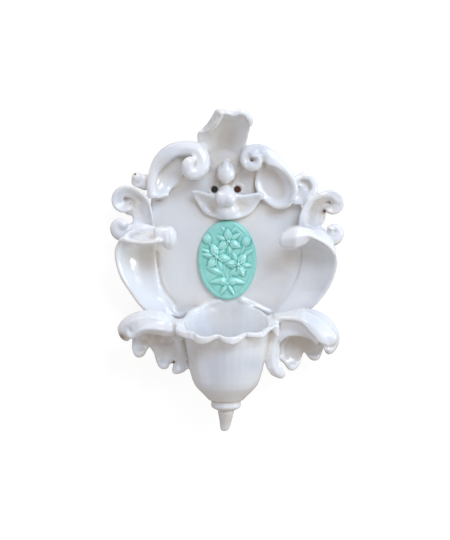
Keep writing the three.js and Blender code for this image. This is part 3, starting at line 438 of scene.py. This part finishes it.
def finished_piece(node, mesh, finish):
    piece = bpy.data.objects.new(node + "_glazed", mesh)
    bpy.context.scene.collection.objects.link(piece)
    mesh.materials.append(finish)
    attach(piece, "root")
    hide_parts(node)
    "aqua_glaze" if node == PLAQUE else "white_glaze"
    return piece


# Node trees

class Socket:
    """An output socket that takes part in plain arithmetic."""

    def __init__(self, tree, socket):
        self.tree = tree
        self.socket = socket

    def math(self, operation, first, second=0.0, third=0.0):
        return self.tree.node("ShaderNodeMath", {"operation": operation}, {0: first, 1: second, 2: third})

    def __add__(self, other):
        return self.math("ADD", self, other)

    def __radd__(self, other):
        return self.math("ADD", other, self)

    def __sub__(self, other):
        return self.math("SUBTRACT", self, other)

    def __rsub__(self, other):
        return self.math("SUBTRACT", other, self)

    def __mul__(self, other):
        return self.math("MULTIPLY", self, other)

    def __rmul__(self, other):
        return self.math("MULTIPLY", other, self)

    def __truediv__(self, other):
        return self.math("DIVIDE", self, other)

    def __pow__(self, other):
        return self.math("POWER", self, other)

    def between(self, low, high):
        """0 below low and 1 above high, with a soft step between them."""
        settings = {"interpolation_type": "SMOOTHSTEP"}
        return self.tree.node("ShaderNodeMapRange", settings, {0: self, 1: low, 2: high})


class Tree:
    """A node tree that is filled from the script."""

    def __init__(self, nodes):
        self.nodes = nodes
        nodes.nodes.clear()

    def node(self, kind, settings=None, sockets=None, output=0):
        node = self.nodes.nodes.new(kind)
        for name, value in (settings or {}).items():
            setattr(node, name, value)
        for name, value in (sockets or {}).items():
            if isinstance(value, Socket):
                self.nodes.links.new(value.socket, node.inputs[name])
            elif isinstance(value, list):
                for one in value:
                    self.nodes.links.new(one.socket, node.inputs[name])
            else:
                node.inputs[name].default_value = value
        return Socket(self, node.outputs[output]) if node.outputs else node

    def mixed(self, share, first, second):
        """A colour between two colours."""
        return self.node("ShaderNodeMix", {"data_type": "RGBA"}, {0: share, 6: first, 7: second}, 2)

    def placed(self, across, up, out):
        """A vector from three numbers."""
        return self.node("ShaderNodeCombineXYZ", None, {0: across, 1: up, 2: out})

    def noise(self, where, scale, detail=2.0):
        return self.node("ShaderNodeTexNoise", None, {"Vector": where, "Scale": scale, "Detail": detail})

    def felt(self, kind):
        """A number that the mesh carries at every point."""
        return self.node("ShaderNodeAttribute", {"attribute_name": kind}, None, "Fac")


def new_finish(name):
    material = bpy.data.materials.new(name)
    material.use_nodes = True
    return material, Tree(material.node_tree)


def colour(red, green, blue):
    return (red, green, blue, 1.0)


def white_glaze():
    """Thick tin-white glaze: bluish on the open clay, cream where it pools, tan in the joints, with painted
    shade.
    """
    material, tree = new_finish("white_glaze")
    where = tree.node("ShaderNodeTexCoord", None, None, "Object")
    recess = tree.felt("recess")
    drift = tree.noise(where, 28.0, 3.0)
    mottle = tree.noise(where, 140.0, 3.0)
    patches = tree.noise(where, 45.0, 2.0).between(0.42, 0.68)
    pool = (recess + (drift - 0.5) * 0.25).between(0.10, 0.60)
    deep = (recess + (mottle - 0.5) * 0.3).between(0.45, 0.90) * (0.25 + patches * 0.75)
    thin = (0.0 - recess + (mottle - 0.5) * 0.35).between(0.55, 0.95) * patches
    open_white = tree.mixed(drift.between(0.3, 0.7), colour(0.80, 0.82, 0.86), colour(0.84, 0.85, 0.88))
    # painted shade: the deeper in a hollow, the more the white turns to warm grey
    shade = (tree.felt("hollow") + (drift - 0.5) * 0.4).between(-0.45, 0.35)
    warm = tree.mixed(shade * 0.55, open_white, colour(0.66, 0.61, 0.54))
    # painted reflection and shade: blue-grey at the listed places
    cool = tree.mixed(tree.felt("cool").between(0.0, 1.2) * 0.7, warm, colour(0.56, 0.60, 0.68))
    # painted warm shade: warm grey at the listed places
    painted_warm = tree.mixed(tree.felt("warmth").between(0.0, 1.2) * 0.6, cool, colour(0.56, 0.49, 0.40))
    cream = tree.mixed(pool * 0.5, painted_warm, colour(0.73, 0.69, 0.63))
    tan = tree.mixed(deep * 0.65, cream, colour(0.42, 0.34, 0.26))
    edged = tree.mixed(thin * 0.3, tan, colour(0.74, 0.68, 0.60))
    cells = tree.node("ShaderNodeTexVoronoi", None, {"Vector": where, "Scale": 70.0}, "Distance")
    chance = tree.node("ShaderNodeTexVoronoi", None, {"Vector": where, "Scale": 70.0}, "Color")
    pick = tree.node("ShaderNodeSeparateColor", None, {0: chance}).between(0.90, 0.92)
    pinhole = (1 - cells.between(0.02, 0.05)) * pick
    specked = tree.mixed(pinhole * 0.6, edged, colour(0.22, 0.17, 0.13))
    bare = tree.felt("bare") * (0.7 + mottle * 0.6)
    unglazed = bare.between(0.25, 0.8)
    rough = tree.mixed(unglazed, specked, colour(0.44, 0.31, 0.24))
    # near-black where the listed strength is highest, in the pits
    body = tree.mixed(bare.between(0.9, 1.5), rough, colour(0.06, 0.05, 0.04))
    ripple = tree.noise(where, 220.0, 2.0) * 0.7 + tree.noise(where, 900.0, 1.0) * 0.15 - pinhole * 0.5
    normal = tree.node("ShaderNodeBump", None, {"Strength": 0.10, "Distance": 0.002, "Height": ripple})
    shader = tree.node("ShaderNodeBsdfPrincipled", None, {
        "Base Color": body,
        "Roughness": 0.12 + mottle * 0.12 + deep * 0.25 + unglazed * 0.4,
        "Normal": normal,
        "IOR": 1.5,
        "Coat Weight": 0.3,
        "Coat Roughness": 0.06,
    })
    tree.node("ShaderNodeOutputMaterial", None, {0: shader})
    return material


def aqua_glaze():
    """Clear copper-green glaze: deep in the hollows and pale where it runs off the high places."""
    material, tree = new_finish("aqua_glaze")
    where = tree.node("ShaderNodeTexCoord", None, None, "Object")
    recess = tree.felt("recess")
    drift = tree.noise(where, 90.0, 3.0)
    pool = (recess + (drift - 0.5) * 0.3).between(-0.05, 0.5)
    thin = (0.0 - recess + (drift - 0.5) * 0.2).between(0.1, 0.8)
    open_aqua = tree.mixed(drift.between(0.35, 0.65), colour(0.36, 0.79, 0.71), colour(0.40, 0.83, 0.76))
    deep = tree.mixed(pool, open_aqua, colour(0.12, 0.48, 0.40))
    body = tree.mixed(thin * 0.75, deep, colour(0.58, 0.88, 0.82))
    ripple = tree.noise(where, 400.0, 2.0)
    normal = tree.node("ShaderNodeBump", None, {"Strength": 0.08, "Distance": 0.001, "Height": ripple})
    shader = tree.node("ShaderNodeBsdfPrincipled", None, {
        "Base Color": body,
        "Roughness": 0.12 + drift * 0.1,
        "Normal": normal,
        "IOR": 1.5,
        "Coat Weight": 0.4,
        "Coat Roughness": 0.08,
    })
    tree.node("ShaderNodeOutputMaterial", None, {0: shader})
    return material


WHITE = white_glaze()
AQUA = aqua_glaze()


# Clay of all the white pieces together

def luted(fields, slip, passes):
    """Distances to all the pieces together, their joints filled with slip."""
    blend = np.zeros(extent, np.float32)
    for start, field in fields.values():
        blend[block(start, field.shape)] += np.exp(-field / slip)
    together = np.minimum(-slip * np.log(np.maximum(blend, np.exp(-REACH / slip))), REACH)
    return softened(together, passes)


def thumbed(field):
    """The field evened out by a thumb, except at edges and joints."""
    for reach, edge in THUMBS:
        change = blurred(blurred(field, reach), reach) - field
        field = field + change * np.exp(-((change / edge) ** 2))
    return field


def front_of(x, z):
    """Depth of the first clay that is met from the front."""
    i, k = (int(round(v / VOXEL)) - origin[axis] for v, axis in ((x, 0), (z, 2)))
    column = clay[i, :, k]
    j = int(np.argmax(column < 0))
    part = column[j - 1] / (column[j - 1] - column[j]) if j else 0.0
    return (origin[1] + max(j - 1, 0) + part) * VOXEL


def around(points, margin):
    """Block of samples round some points."""
    low = np.floor((np.min(points, 0) - margin) / VOXEL).astype(int) - origin
    high = np.ceil((np.max(points, 0) + margin) / VOXEL).astype(int) + 1 - origin
    low, high = np.maximum(low, 0), np.minimum(high, extent)
    return low, high - low


def drawn(width, depth, line):
    """Groove along a line on the front, or a bead where the depth is negative."""
    spots = []
    for (x0, z0), (x1, z1) in zip(line, line[1:]):
        for t in np.linspace(0, 1, int(math.hypot(x1 - x0, z1 - z0) / STROKE_STEP) + 2):
            x, z = x0 + t * (x1 - x0), z0 + t * (z1 - z0)
            spots.append((x, front_of(x, z), z))
    start, shape = around(spots, FADE * width)
    x, y, z = places(start, shape)
    near = np.full(shape, 1e6, np.float32)
    for spot in spots:
        near = np.minimum(near, (x - spot[0]) ** 2 + (y - spot[1]) ** 2 + (z - spot[2]) ** 2)
    clay[block(start, shape)] += depth * np.exp(-near / width**2)


def dabbed(centre, radii, slip):
    """A pad of clay pressed on and smeared in."""
    start, shape = around([centre], max(radii) + FADE * slip)
    parts = [(axis - c) / r for axis, c, r in zip(places(start, shape), centre, radii)]
    pad = (np.sqrt(parts[0] ** 2 + parts[1] ** 2 + parts[2] ** 2) - 1) * min(radii)
    cut = block(start, shape)
    gap = np.maximum(slip - np.abs(clay[cut] - pad), 0) / slip
    clay[cut] = np.minimum(clay[cut], pad) - gap**2 * slip / 4


def spread_over(places_on_front, x, z):
    """Sum of soft round spots at points of the front."""
    total = 0
    for across, up, size, strength in places_on_front:
        total = total + strength * np.exp(-((x - across) ** 2 + (z - up) ** 2) / size**2)
    return total


def stains_and_painted_shade(places_on_front, points):
    """The same for points of a skin, and nothing on the back; for stains and for painted shade and
    reflection.
    """
    return spread_over(places_on_front, points[:, 0], points[:, 2]) * (points[:, 1] < CLEAN_BACK)


def pressed_ring(across, level, width, depth):
    """Groove that a tool leaves round the turned foot."""
    out = np.hypot(grid_x - FOOT_AXIS[0], (grid_y - FOOT_AXIS[1]) / FOOT_SQUASH)
    return depth * np.exp(-((np.hypot(out - across, grid_z - level) / width) ** 2))


def eased(share):
    """A soft step from 0 to 1."""
    share = np.clip(share, 0, 1)
    return share * share * (3 - 2 * share)


def pushed_down(start, field):
    """The mouth's front pressed down by hand, the more the nearer to its edge."""
    x, y, z = places(start, field.shape)
    push = np.interp(x, *zip(*LIP_DROP))
    push = push * eased((LIP_FRONT - y) / LIP_EASE[0]) * eased((z - LIP_ROOT) / LIP_EASE[1])
    at = np.arange(field.shape[2]) + push / VOXEL
    first = np.clip(at.astype(int), 0, field.shape[2] - 2)
    t = np.clip(at - first, 0, 1)
    low, high = (np.take_along_axis(field, first + step, 2) for step in (0, 1))
    return (low * (1 - t) + high * t).astype(np.float32)


def trimmed(start, field):
    """The lip's front with its lower edge cut along the line for it."""
    x, y, z = places(start, field.shape)
    below = np.clip(np.interp(x, *zip(*LIP_LOW)) - z, -REACH, REACH)
    return np.where(y < LIP_TRIM, np.maximum(field, below), field).astype(np.float32)


def shaped_lip(fields):
    """The fields with the mouth's front edge pushed down and trimmed."""
    shaped = dict(fields)
    for name in ("bowl", "bowl_rim"):
        start, field = fields[name]
        shaped[name] = start, pushed_down(start, field)
    start, field = shaped["bowl_rim"]
    shaped["bowl_rim"] = start, trimmed(start, field)
    return shaped


def owned(fields):
    """For every sample the number of the nearest piece, and the distances to it and to the next."""
    nearest = np.full(extent, 4 * REACH, np.float32)
    second = nearest.copy()
    owner = np.full(extent, -1, np.int8)
    for number, (start, field) in enumerate(fields.values()):
        cut = block(start, field.shape)
        closer = field < nearest[cut]
        second[cut] = np.where(closer, nearest[cut], np.minimum(second[cut], field))
        owner[cut] = np.where(closer, number, owner[cut])
        nearest[cut] = np.minimum(nearest[cut], field)
    return owner, nearest, second


def glazed_clay(fields):
    """All the white pieces as one body: evened out by hand, crisp at the turned foot, and glazed."""
    smeared = np.minimum(spread_over(SMEARS, grid_x, grid_z), 1)
    soft = luted(fields, SLIP, SOFTEN) * (1 - smeared) + luted(fields, SMEAR, 2 * SOFTEN) * smeared
    crisp = luted(fields, FOOT_SLIP, FOOT_SOFTEN)
    return thumbed(soft) * (1 - turned) + crisp * turned - GLAZE_COAT


def work_by_hand():
    """Webs, pads, strokes and pits, each on the clay as the one before left it."""
    for web in WEBS:
        dabbed(*web)
    for x, z, lift, radii, slip in PADS:
        dabbed((x, front_of(x, z) - lift, z), radii, slip)
    for stroke in STROKES:
        drawn(*stroke)
    for x, z, width, depth in PITS:
        drawn(width, depth, ((x, z), (x + PIT_LENGTH, z)))


def pierced(clay):
    """The clay with both holes open, a lip round each, and a flat back."""
    for hole in (-HOLE_SPACING / 2, HOLE_SPACING / 2):
        away = np.hypot(grid_x - hole, grid_z)
        ring = np.exp(-(((away - HOLE_WIDTH / 2 - EYELET_AWAY) / EYELET_WIDTH) ** 2))
        lipped = clay - EYELET * ring * (grid_y < 0.5 * SLAB_FRONT)
        clay = np.maximum(lipped, HOLE_WIDTH / 2 - away)
    return np.maximum(clay, grid_y)


def filled(reach):
    """How much of the cube round each sample is clay, from -1 for none to 1 for all."""
    return 2 * blurred(np.clip(0.5 - clay / (2 * VOXEL), 0, 1), reach) - 1


def cut_out(number, start, field):
    """One piece of the clay, which runs on a little under its neighbours."""
    cut = block(start, field.shape)
    beyond = np.where(owner[cut] == number, nearest[cut] - second[cut], field - nearest[cut])
    beyond = np.clip(beyond, -REACH, REACH)
    return np.maximum(clay[cut] + DIVE * np.maximum(beyond, 0), beyond / 2 - TUCK)


grid_x, grid_y, grid_z = places((0, 0, 0), extent)
turned = np.clip((FOOT_TOP - grid_z) / FOOT_BLEND, 0, 1)
white_nodes = {name: node for name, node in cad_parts.items() if name != PLAQUE}
fields = shaped_lip({name: clay_field(node.data) for name, node in white_nodes.items()})
owner, nearest, second = owned(fields)
clay = glazed_clay(fields)
work_by_hand()
clay += sum(height * lumps(spacing, seed) for spacing, seed, height in LUMPS) * (1 - FOOT_EVEN * turned)
for groove in FOOT_GROOVES:
    clay += pressed_ring(*groove)
clay = pierced(clay)
hollow = filled(HOLLOW_REACH)
recess = filled(RECESS_REACH)

for number, (name, (start, field)) in enumerate(fields.items()):
    points, quads = skin_of(start, cut_out(number, start, field))
    felt = {
        "recess": RECESS_GAIN * sampled(recess, points),
        # how deep in a hollow, for the painted shade there
        "hollow": HOLLOW_GAIN * sampled(hollow, points),
        # strength of the painted warm shade
        "warmth": stains_and_painted_shade(PAINTED_WARM_SHADE, points),
        # strength of the painted blue-grey reflection and shade
        "cool": stains_and_painted_shade(PAINTED_COOL_SHADE_AND_REFLECTION, points),
        "bare": stains_and_painted_shade(BARE, points),
    }
    finished_piece(name, mesh_of(name, points, quads, felt), WHITE)


# Plaque

def plaque_body():
    """Closed oval with a rounded edge: a fine square of points on the front and one on the back."""
    half = PLAQUE_POINTS // 2
    steps = np.arange(-half, half + 1) / half
    a, b = np.meshgrid(steps, steps, indexing="ij")
    ring = np.maximum(np.abs(a), np.abs(b))
    away = np.maximum(np.hypot(a, b), 1e-9)
    turn = np.clip((ring - PLAQUE_FIELD) / (1 - PLAQUE_FIELD), 0, 1) * math.pi / 2
    inset = PLAQUE_EDGE * (1 - np.sin(turn))
    share = np.minimum(ring / PLAQUE_FIELD, 1)
    crown = PLAQUE_CROWN * (1 - share**2)
    front = PLAQUE_HIGH - PLAQUE_EDGE * (1 - np.cos(turn)) + crown
    front -= PLAQUE_LINE * np.exp(-(((ring - PLAQUE_LINE_AT) / PLAQUE_LINE_WIDTH) ** 2))
    points = []
    for lift, rounding, spread in ((front, inset, share), (np.full_like(ring, PLAQUE_LOW), 0, ring)):
        x = PLAQUE_MIDDLE[0] + (PLAQUE_HALF[0] - rounding) * spread * a / away
        z = PLAQUE_MIDDLE[1] + (PLAQUE_HALF[1] - rounding) * spread * b / away
        points.append(np.stack([x, SLAB_FRONT - lift, z], -1).reshape(-1, 3))
    size = len(steps)
    number = np.arange(size * size).reshape(size, size)
    cells = []
    for grid in (number, number[::-1] + size * size):
        corners = [grid[:-1, :-1], grid[1:, :-1], grid[1:, 1:], grid[:-1, 1:]]
        cells.append(np.stack(corners, -1).reshape(-1, 4))
    rim = np.concatenate([number[0, :-1], number[:-1, -1], number[-1, :0:-1], number[:0:-1, 0]])
    under = rim + size * size
    side = np.stack([rim, np.roll(rim, -1), np.roll(under, -1), under], -1)
    return np.concatenate(points), np.concatenate(cells + [side])


def petal(tree, length, width, rise):
    """Leaf-shaped sheet along y with a rib down its middle, that bends back at the tip."""
    sheet = tree.node("GeometryNodeMeshGrid", None,
                      {"Size X": 2.0, "Size Y": 1.0,
                       "Vertices X": PETAL_POINTS[0], "Vertices Y": PETAL_POINTS[1]})
    where = tree.node("GeometryNodeInputPosition")
    across = tree.node("ShaderNodeSeparateXYZ", None, {0: where}, "X")
    along = tree.node("ShaderNodeSeparateXYZ", None, {0: where}, "Y") + 0.5
    wide = along.math("SINE", along**0.8 * 3.14) ** 0.75
    side = across.math("ABSOLUTE", across)
    swell = along.math("SINE", along * 2.7 + 0.25)
    rib = (1 - side) ** 5 * 0.28 + side**4 * 0.12
    high = rise * swell * (0.72 - side * side * 0.35 + rib)
    shape = tree.placed(across * wide * width * 0.5, along * length, high)
    return tree.node("GeometryNodeSetPosition", None, {"Geometry": sheet, "Position": shape})


def fanned(tree, sheet, count, turn, first, lean):
    """Copies of a sheet round one point."""
    index = tree.node("GeometryNodeInputIndex")
    points = tree.node("GeometryNodePoints", None, {"Count": count, "Position": (0, 0, 0)})
    turned = tree.placed(lean, 0.0, index * turn + first)
    return tree.node("GeometryNodeInstanceOnPoints", None,
                     {"Points": points, "Instance": sheet, "Rotation": turned})


def stem(tree, start, middle, end):
    bent = [(x * MM, y * MM, 0.3 * MM) for x, y in (start, middle, end)]
    return tree.node("GeometryNodeCurveQuadraticBezier", None,
                     {"Resolution": 14, "Start": bent[0], "Middle": bent[1], "End": bent[2]})


def set_at(tree, sheet, x, y, turn, size=1.0):
    """A copy of a sheet at a place on the plaque, turned by degrees."""
    return tree.node("GeometryNodeTransform", None, {
        "Geometry": sheet,
        "Translation": (x * MM, y * MM, 0.0),
        "Rotation": (0.0, 0.0, math.radians(turn)),
        "Scale": (size, size, size),
    })


def joined(tree, parts):
    return tree.node("GeometryNodeJoinGeometry", None, {0: parts})


def lily_spray(tree, given):
    """Three open lilies, two buds and their leaves, tied with a ribbon."""
    broad = petal(tree, given("Petal length"), given("Petal width"), given("Relief"))
    narrow = petal(tree, given("Petal length") * 1.06, given("Petal width") * 0.66, given("Relief") * 0.75)
    third = math.radians(120)
    ball = {"Segments": 16, "Rings": 10, "Radius": given("Stem") * 1.5}
    heart = tree.node("GeometryNodeMeshUVSphere", None, ball)
    raised = {"Geometry": heart, "Offset": tree.placed(0.0, 0.0, given("Relief"))}
    threads = petal(tree, given("Petal length") * 0.5, given("Stem") * 1.1, given("Relief") * 1.35)
    lily = joined(tree, [
        fanned(tree, narrow, 3, third, third / 2, 0.0),
        fanned(tree, broad, 3, third, 0.0, 0.06),
        fanned(tree, threads, 6, third / 2, third / 4, 0.14),
        tree.node("GeometryNodeSetPosition", None, raised),
    ])
    leaf = petal(tree, given("Leaf length"), given("Leaf width"), given("Relief") * 0.7)
    bud = joined(tree, [set_at(tree, broad, 0, 0, turn, 0.8) for turn in (-14, 0, 14)])
    stems = joined(tree, [stem(tree, TIE, bend, end) for bend, end in STEMS])
    circle = {"Resolution": 8, "Radius": given("Stem")}
    profile = tree.node("GeometryNodeCurvePrimitiveCircle", {"mode": "RADIUS"}, circle)
    stalks = tree.node("GeometryNodeCurveToMesh", None, {"Curve": stems, "Profile Curve": profile})
    parts = [stalks]
    parts += [set_at(tree, lily, *place) for place in LILIES]
    parts += [set_at(tree, bud, *place) for place in BUDS]
    parts += [set_at(tree, leaf, *place) for place in LEAVES]
    loop = petal(tree, given("Petal length") * 0.9, given("Petal width"), given("Relief") * 0.9)
    tail = petal(tree, given("Leaf length") * 0.85, given("Leaf width") * 0.8, given("Relief") * 0.7)
    parts += [set_at(tree, loop, *TIE, turn, 1.15) for turn in (64, -64)]
    parts += [set_at(tree, tail, *TIE, turn) for turn in (146, -150)]
    parts += [set_at(tree, set_at(tree, heart, 0, 0, 0, 1.5), *TIE, 0)]
    return tree.node("GeometryNodeRealizeInstances", None, {0: joined(tree, parts)})


def plaque_tree(sizes):
    """Tree that raises the spray on the front of the plaque, as if it were pressed in a mould."""
    group = bpy.data.node_groups.new("plaque_relief", "GeometryNodeTree")
    tree = Tree(group)
    group.interface.new_socket("Geometry", in_out="INPUT", socket_type="NodeSocketGeometry")
    for label in sizes:
        group.interface.new_socket(label, in_out="INPUT", socket_type="NodeSocketFloat")
    group.interface.new_socket("Geometry", in_out="OUTPUT", socket_type="NodeSocketGeometry")

    def given(label):
        return tree.node("NodeGroupInput", None, None, label)

    place = (PLAQUE_MIDDLE[0] * MM, (SLAB_FRONT - PLAQUE_HIGH) * MM, PLAQUE_MIDDLE[1] * MM)
    spray = tree.node("GeometryNodeTransform", None, {
        "Geometry": lily_spray(tree, given),
        "Translation": place,
        "Rotation": (math.pi / 2, 0.0, 0.0),
    })
    where = tree.node("GeometryNodeInputPosition")
    across, deep, up = (tree.node("ShaderNodeSeparateXYZ", None, {0: where}, axis) for axis in "XYZ")
    ahead = tree.placed(across, deep - FEEL_FROM, up)
    sockets = {
        "Target Geometry": spray,
        "Source Position": ahead,
        "Ray Direction": (0.0, 1.0, 0.0),
        "Ray Length": FEEL_LENGTH,
    }
    gap = tree.node("GeometryNodeRaycast", None, sockets, "Hit Distance")
    hit = tree.node("GeometryNodeRaycast", None, sockets, "Is Hit")
    facing = tree.node("ShaderNodeSeparateXYZ", None, {0: tree.node("GeometryNodeInputNormal")}, "Y")
    open_front = (0.0 - facing).between(0.5, 0.9)
    high = gap.math("MAXIMUM", hit * (FEEL_FROM - gap), 0.0) * open_front
    drift = (tree.noise(where, 180.0, 2.0) - 0.5) * given("Unevenness")
    soft, wide = (
        tree.node("GeometryNodeBlurAttribute", None, {0: high, "Iterations": turns, "Weight": share})
        for turns, share in (RELIEF_SOFT, RELIEF_WIDE)
    )
    marked = tree.node("GeometryNodeStoreNamedAttribute", {"data_type": "FLOAT", "domain": "POINT"}, {
        "Geometry": given("Geometry"),
        "Name": "recess",
        "Value": (wide - soft) * CREASE_GLAZE + FIELD_GLAZE - soft * HIGH_GLAZE,
    })
    moved = tree.node("GeometryNodeSetPosition", None, {
        "Geometry": marked,
        "Offset": tree.placed(0.0, 0.0 - soft - drift * open_front, 0.0),
    })
    whole = tree.node("GeometryNodeRealizeInstances", None, {0: moved})
    glazed = tree.node("GeometryNodeSetMaterial", None, {"Geometry": whole, "Material": AQUA})
    tree.node("NodeGroupOutput", None, {0: glazed})
    return group


def plaque():
    points, quads = plaque_body()
    mesh = mesh_of(PLAQUE, points, faced_out(points, quads), {})
    pressed = bpy.data.objects.new("pressed_plaque", mesh)
    bpy.context.scene.collection.objects.link(pressed)
    modifier = pressed.modifiers.new("relief", "NODES")
    group = plaque_tree(SPRAY_SIZES)
    modifier.node_group = group
    for item in group.interface.items_tree:
        if item.name in SPRAY_SIZES:
            modifier[item.identifier] = SPRAY_SIZES[item.name]
    shown = pressed.evaluated_get(bpy.context.evaluated_depsgraph_get())
    plain = bpy.data.meshes.new_from_object(shown)
    pressed.modifiers.clear()
    bpy.data.objects.remove(pressed)
    plain.materials.clear()
    plain.shade_smooth()
    return finished_piece(PLAQUE, plain, AQUA)


plaque()


# Camera, light and wall

def camera():
    data = bpy.data.cameras.new("camera")
    data.sensor_width = SENSOR
    data.lens = FOCAL_LENGTH / PICTURE_HEIGHT * SENSOR
    data.shift_x, data.shift_y = (shift / PICTURE_HEIGHT for shift in PICTURE_SHIFT)
    eye = bpy.data.objects.new("camera", data)
    bpy.context.scene.collection.objects.link(eye)
    rise = math.radians(EYE_RISE)
    back = Vector((0, -math.cos(rise), math.sin(rise)))
    eye.location = Vector(EYE_AIM) + EYE_DISTANCE * back
    eye.rotation_euler = (-back).to_track_quat("-Z", "Y").to_euler()
    bpy.context.scene.camera = eye


def lamp(name, place, size, power, tint, mirrored=True):
    """Round soft light; one that isn't mirrored leaves no highlight in the glaze."""
    data = bpy.data.lights.new(name, "AREA")
    data.shape = "DISK"
    data.size = size
    data.energy = power
    data.color = tint
    light = bpy.data.objects.new(name, data)
    bpy.context.scene.collection.objects.link(light)
    light.location = place
    light.visible_glossy = mirrored
    aim = Vector(LAMP_AIM) - Vector(place)
    light.rotation_euler = aim.to_track_quat("-Z", "Y").to_euler()


def white_wall():
    """Pale wall that is clear from behind, with dark painted shade behind the two holes that shows through
    them.
    """
    mesh = bpy.data.meshes.new("wall")
    ends = ((-1, -1), (1, -1), (1, 1), (-1, 1))
    corners = [(WALL_HALF * right, WALL_GAP, WALL_HALF * up) for right, up in ends]
    mesh.from_pydata(corners, [], [(0, 1, 2, 3)])
    mesh.update()
    board = bpy.data.objects.new("wall", mesh)
    bpy.context.scene.collection.objects.link(board)
    board.visible_diffuse = False
    board.visible_glossy = False
    board.visible_shadow = False
    material, tree = new_finish("wall_paint")
    behind = tree.node("ShaderNodeNewGeometry", None, None, "Backfacing")
    where = tree.node("ShaderNodeTexCoord", None, None, "Object")
    across = tree.node("ShaderNodeSeparateXYZ", None, {0: where}, "X")
    up = tree.node("ShaderNodeSeparateXYZ", None, {0: where}, "Z")
    right = across.between(-0.001, 0.001)
    beside, above = (
        place.math("ABSOLUTE", place).between(half, half + COVERED_EDGE)
        for place, half in zip((across, up), COVERED_HALF)
    )
    covered = (1 - beside) * (1 - above)
    # painted shade behind the holes: grey-green on the left, red-brown on the right
    painted_hole_shade = tree.mixed(right, colour(0.10, 0.11, 0.095), colour(0.22, 0.10, 0.075))
    tint = tree.mixed(covered, colour(WALL_PAINT, WALL_PAINT, WALL_PAINT), painted_hole_shade)
    paint = tree.node("ShaderNodeBsdfDiffuse", None, {"Color": tint})
    lit = tree.mixed(covered, colour(1, 1, 1), colour(0, 0, 0))
    glow = tree.node("ShaderNodeEmission", None, {"Color": lit, "Strength": WALL_GLOW})
    front = tree.node("ShaderNodeAddShader", None, {0: paint, 1: glow})
    clear = tree.node("ShaderNodeBsdfTransparent")
    shown = tree.node("ShaderNodeMixShader", None, {0: behind, 1: front, 2: clear})
    tree.node("ShaderNodeOutputMaterial", None, {0: shown})
    mesh.materials.append(material)


def studio():
    world = bpy.data.worlds.new("studio")
    world.use_nodes = True
    bpy.context.scene.world = world
    tree = Tree(world.node_tree)
    toward = tree.node("ShaderNodeTexCoord", None, None, "Generated")
    up = tree.node("ShaderNodeSeparateXYZ", None, {0: toward}, "Z")
    sky = tree.mixed(up.between(-0.5, 0.5), colour(0.43, 0.365, 0.285), colour(0.65, 0.665, 0.75))
    seen = tree.node("ShaderNodeLightPath", None, None, "Is Camera Ray")
    light = tree.node("ShaderNodeBackground", None, {"Color": sky, "Strength": 0.9})
    white = tree.node("ShaderNodeBackground", None, {"Color": colour(1, 1, 1), "Strength": 1.0})
    shown = tree.node("ShaderNodeMixShader", None, {0: seen, 1: light, 2: white})
    tree.node("ShaderNodeOutputWorld", None, {0: shown})
    for name, settings in LAMPS.items():
        lamp(name, *settings)


camera()
white_wall()
studio()
bpy.context.scene.view_settings.view_transform = "Standard"
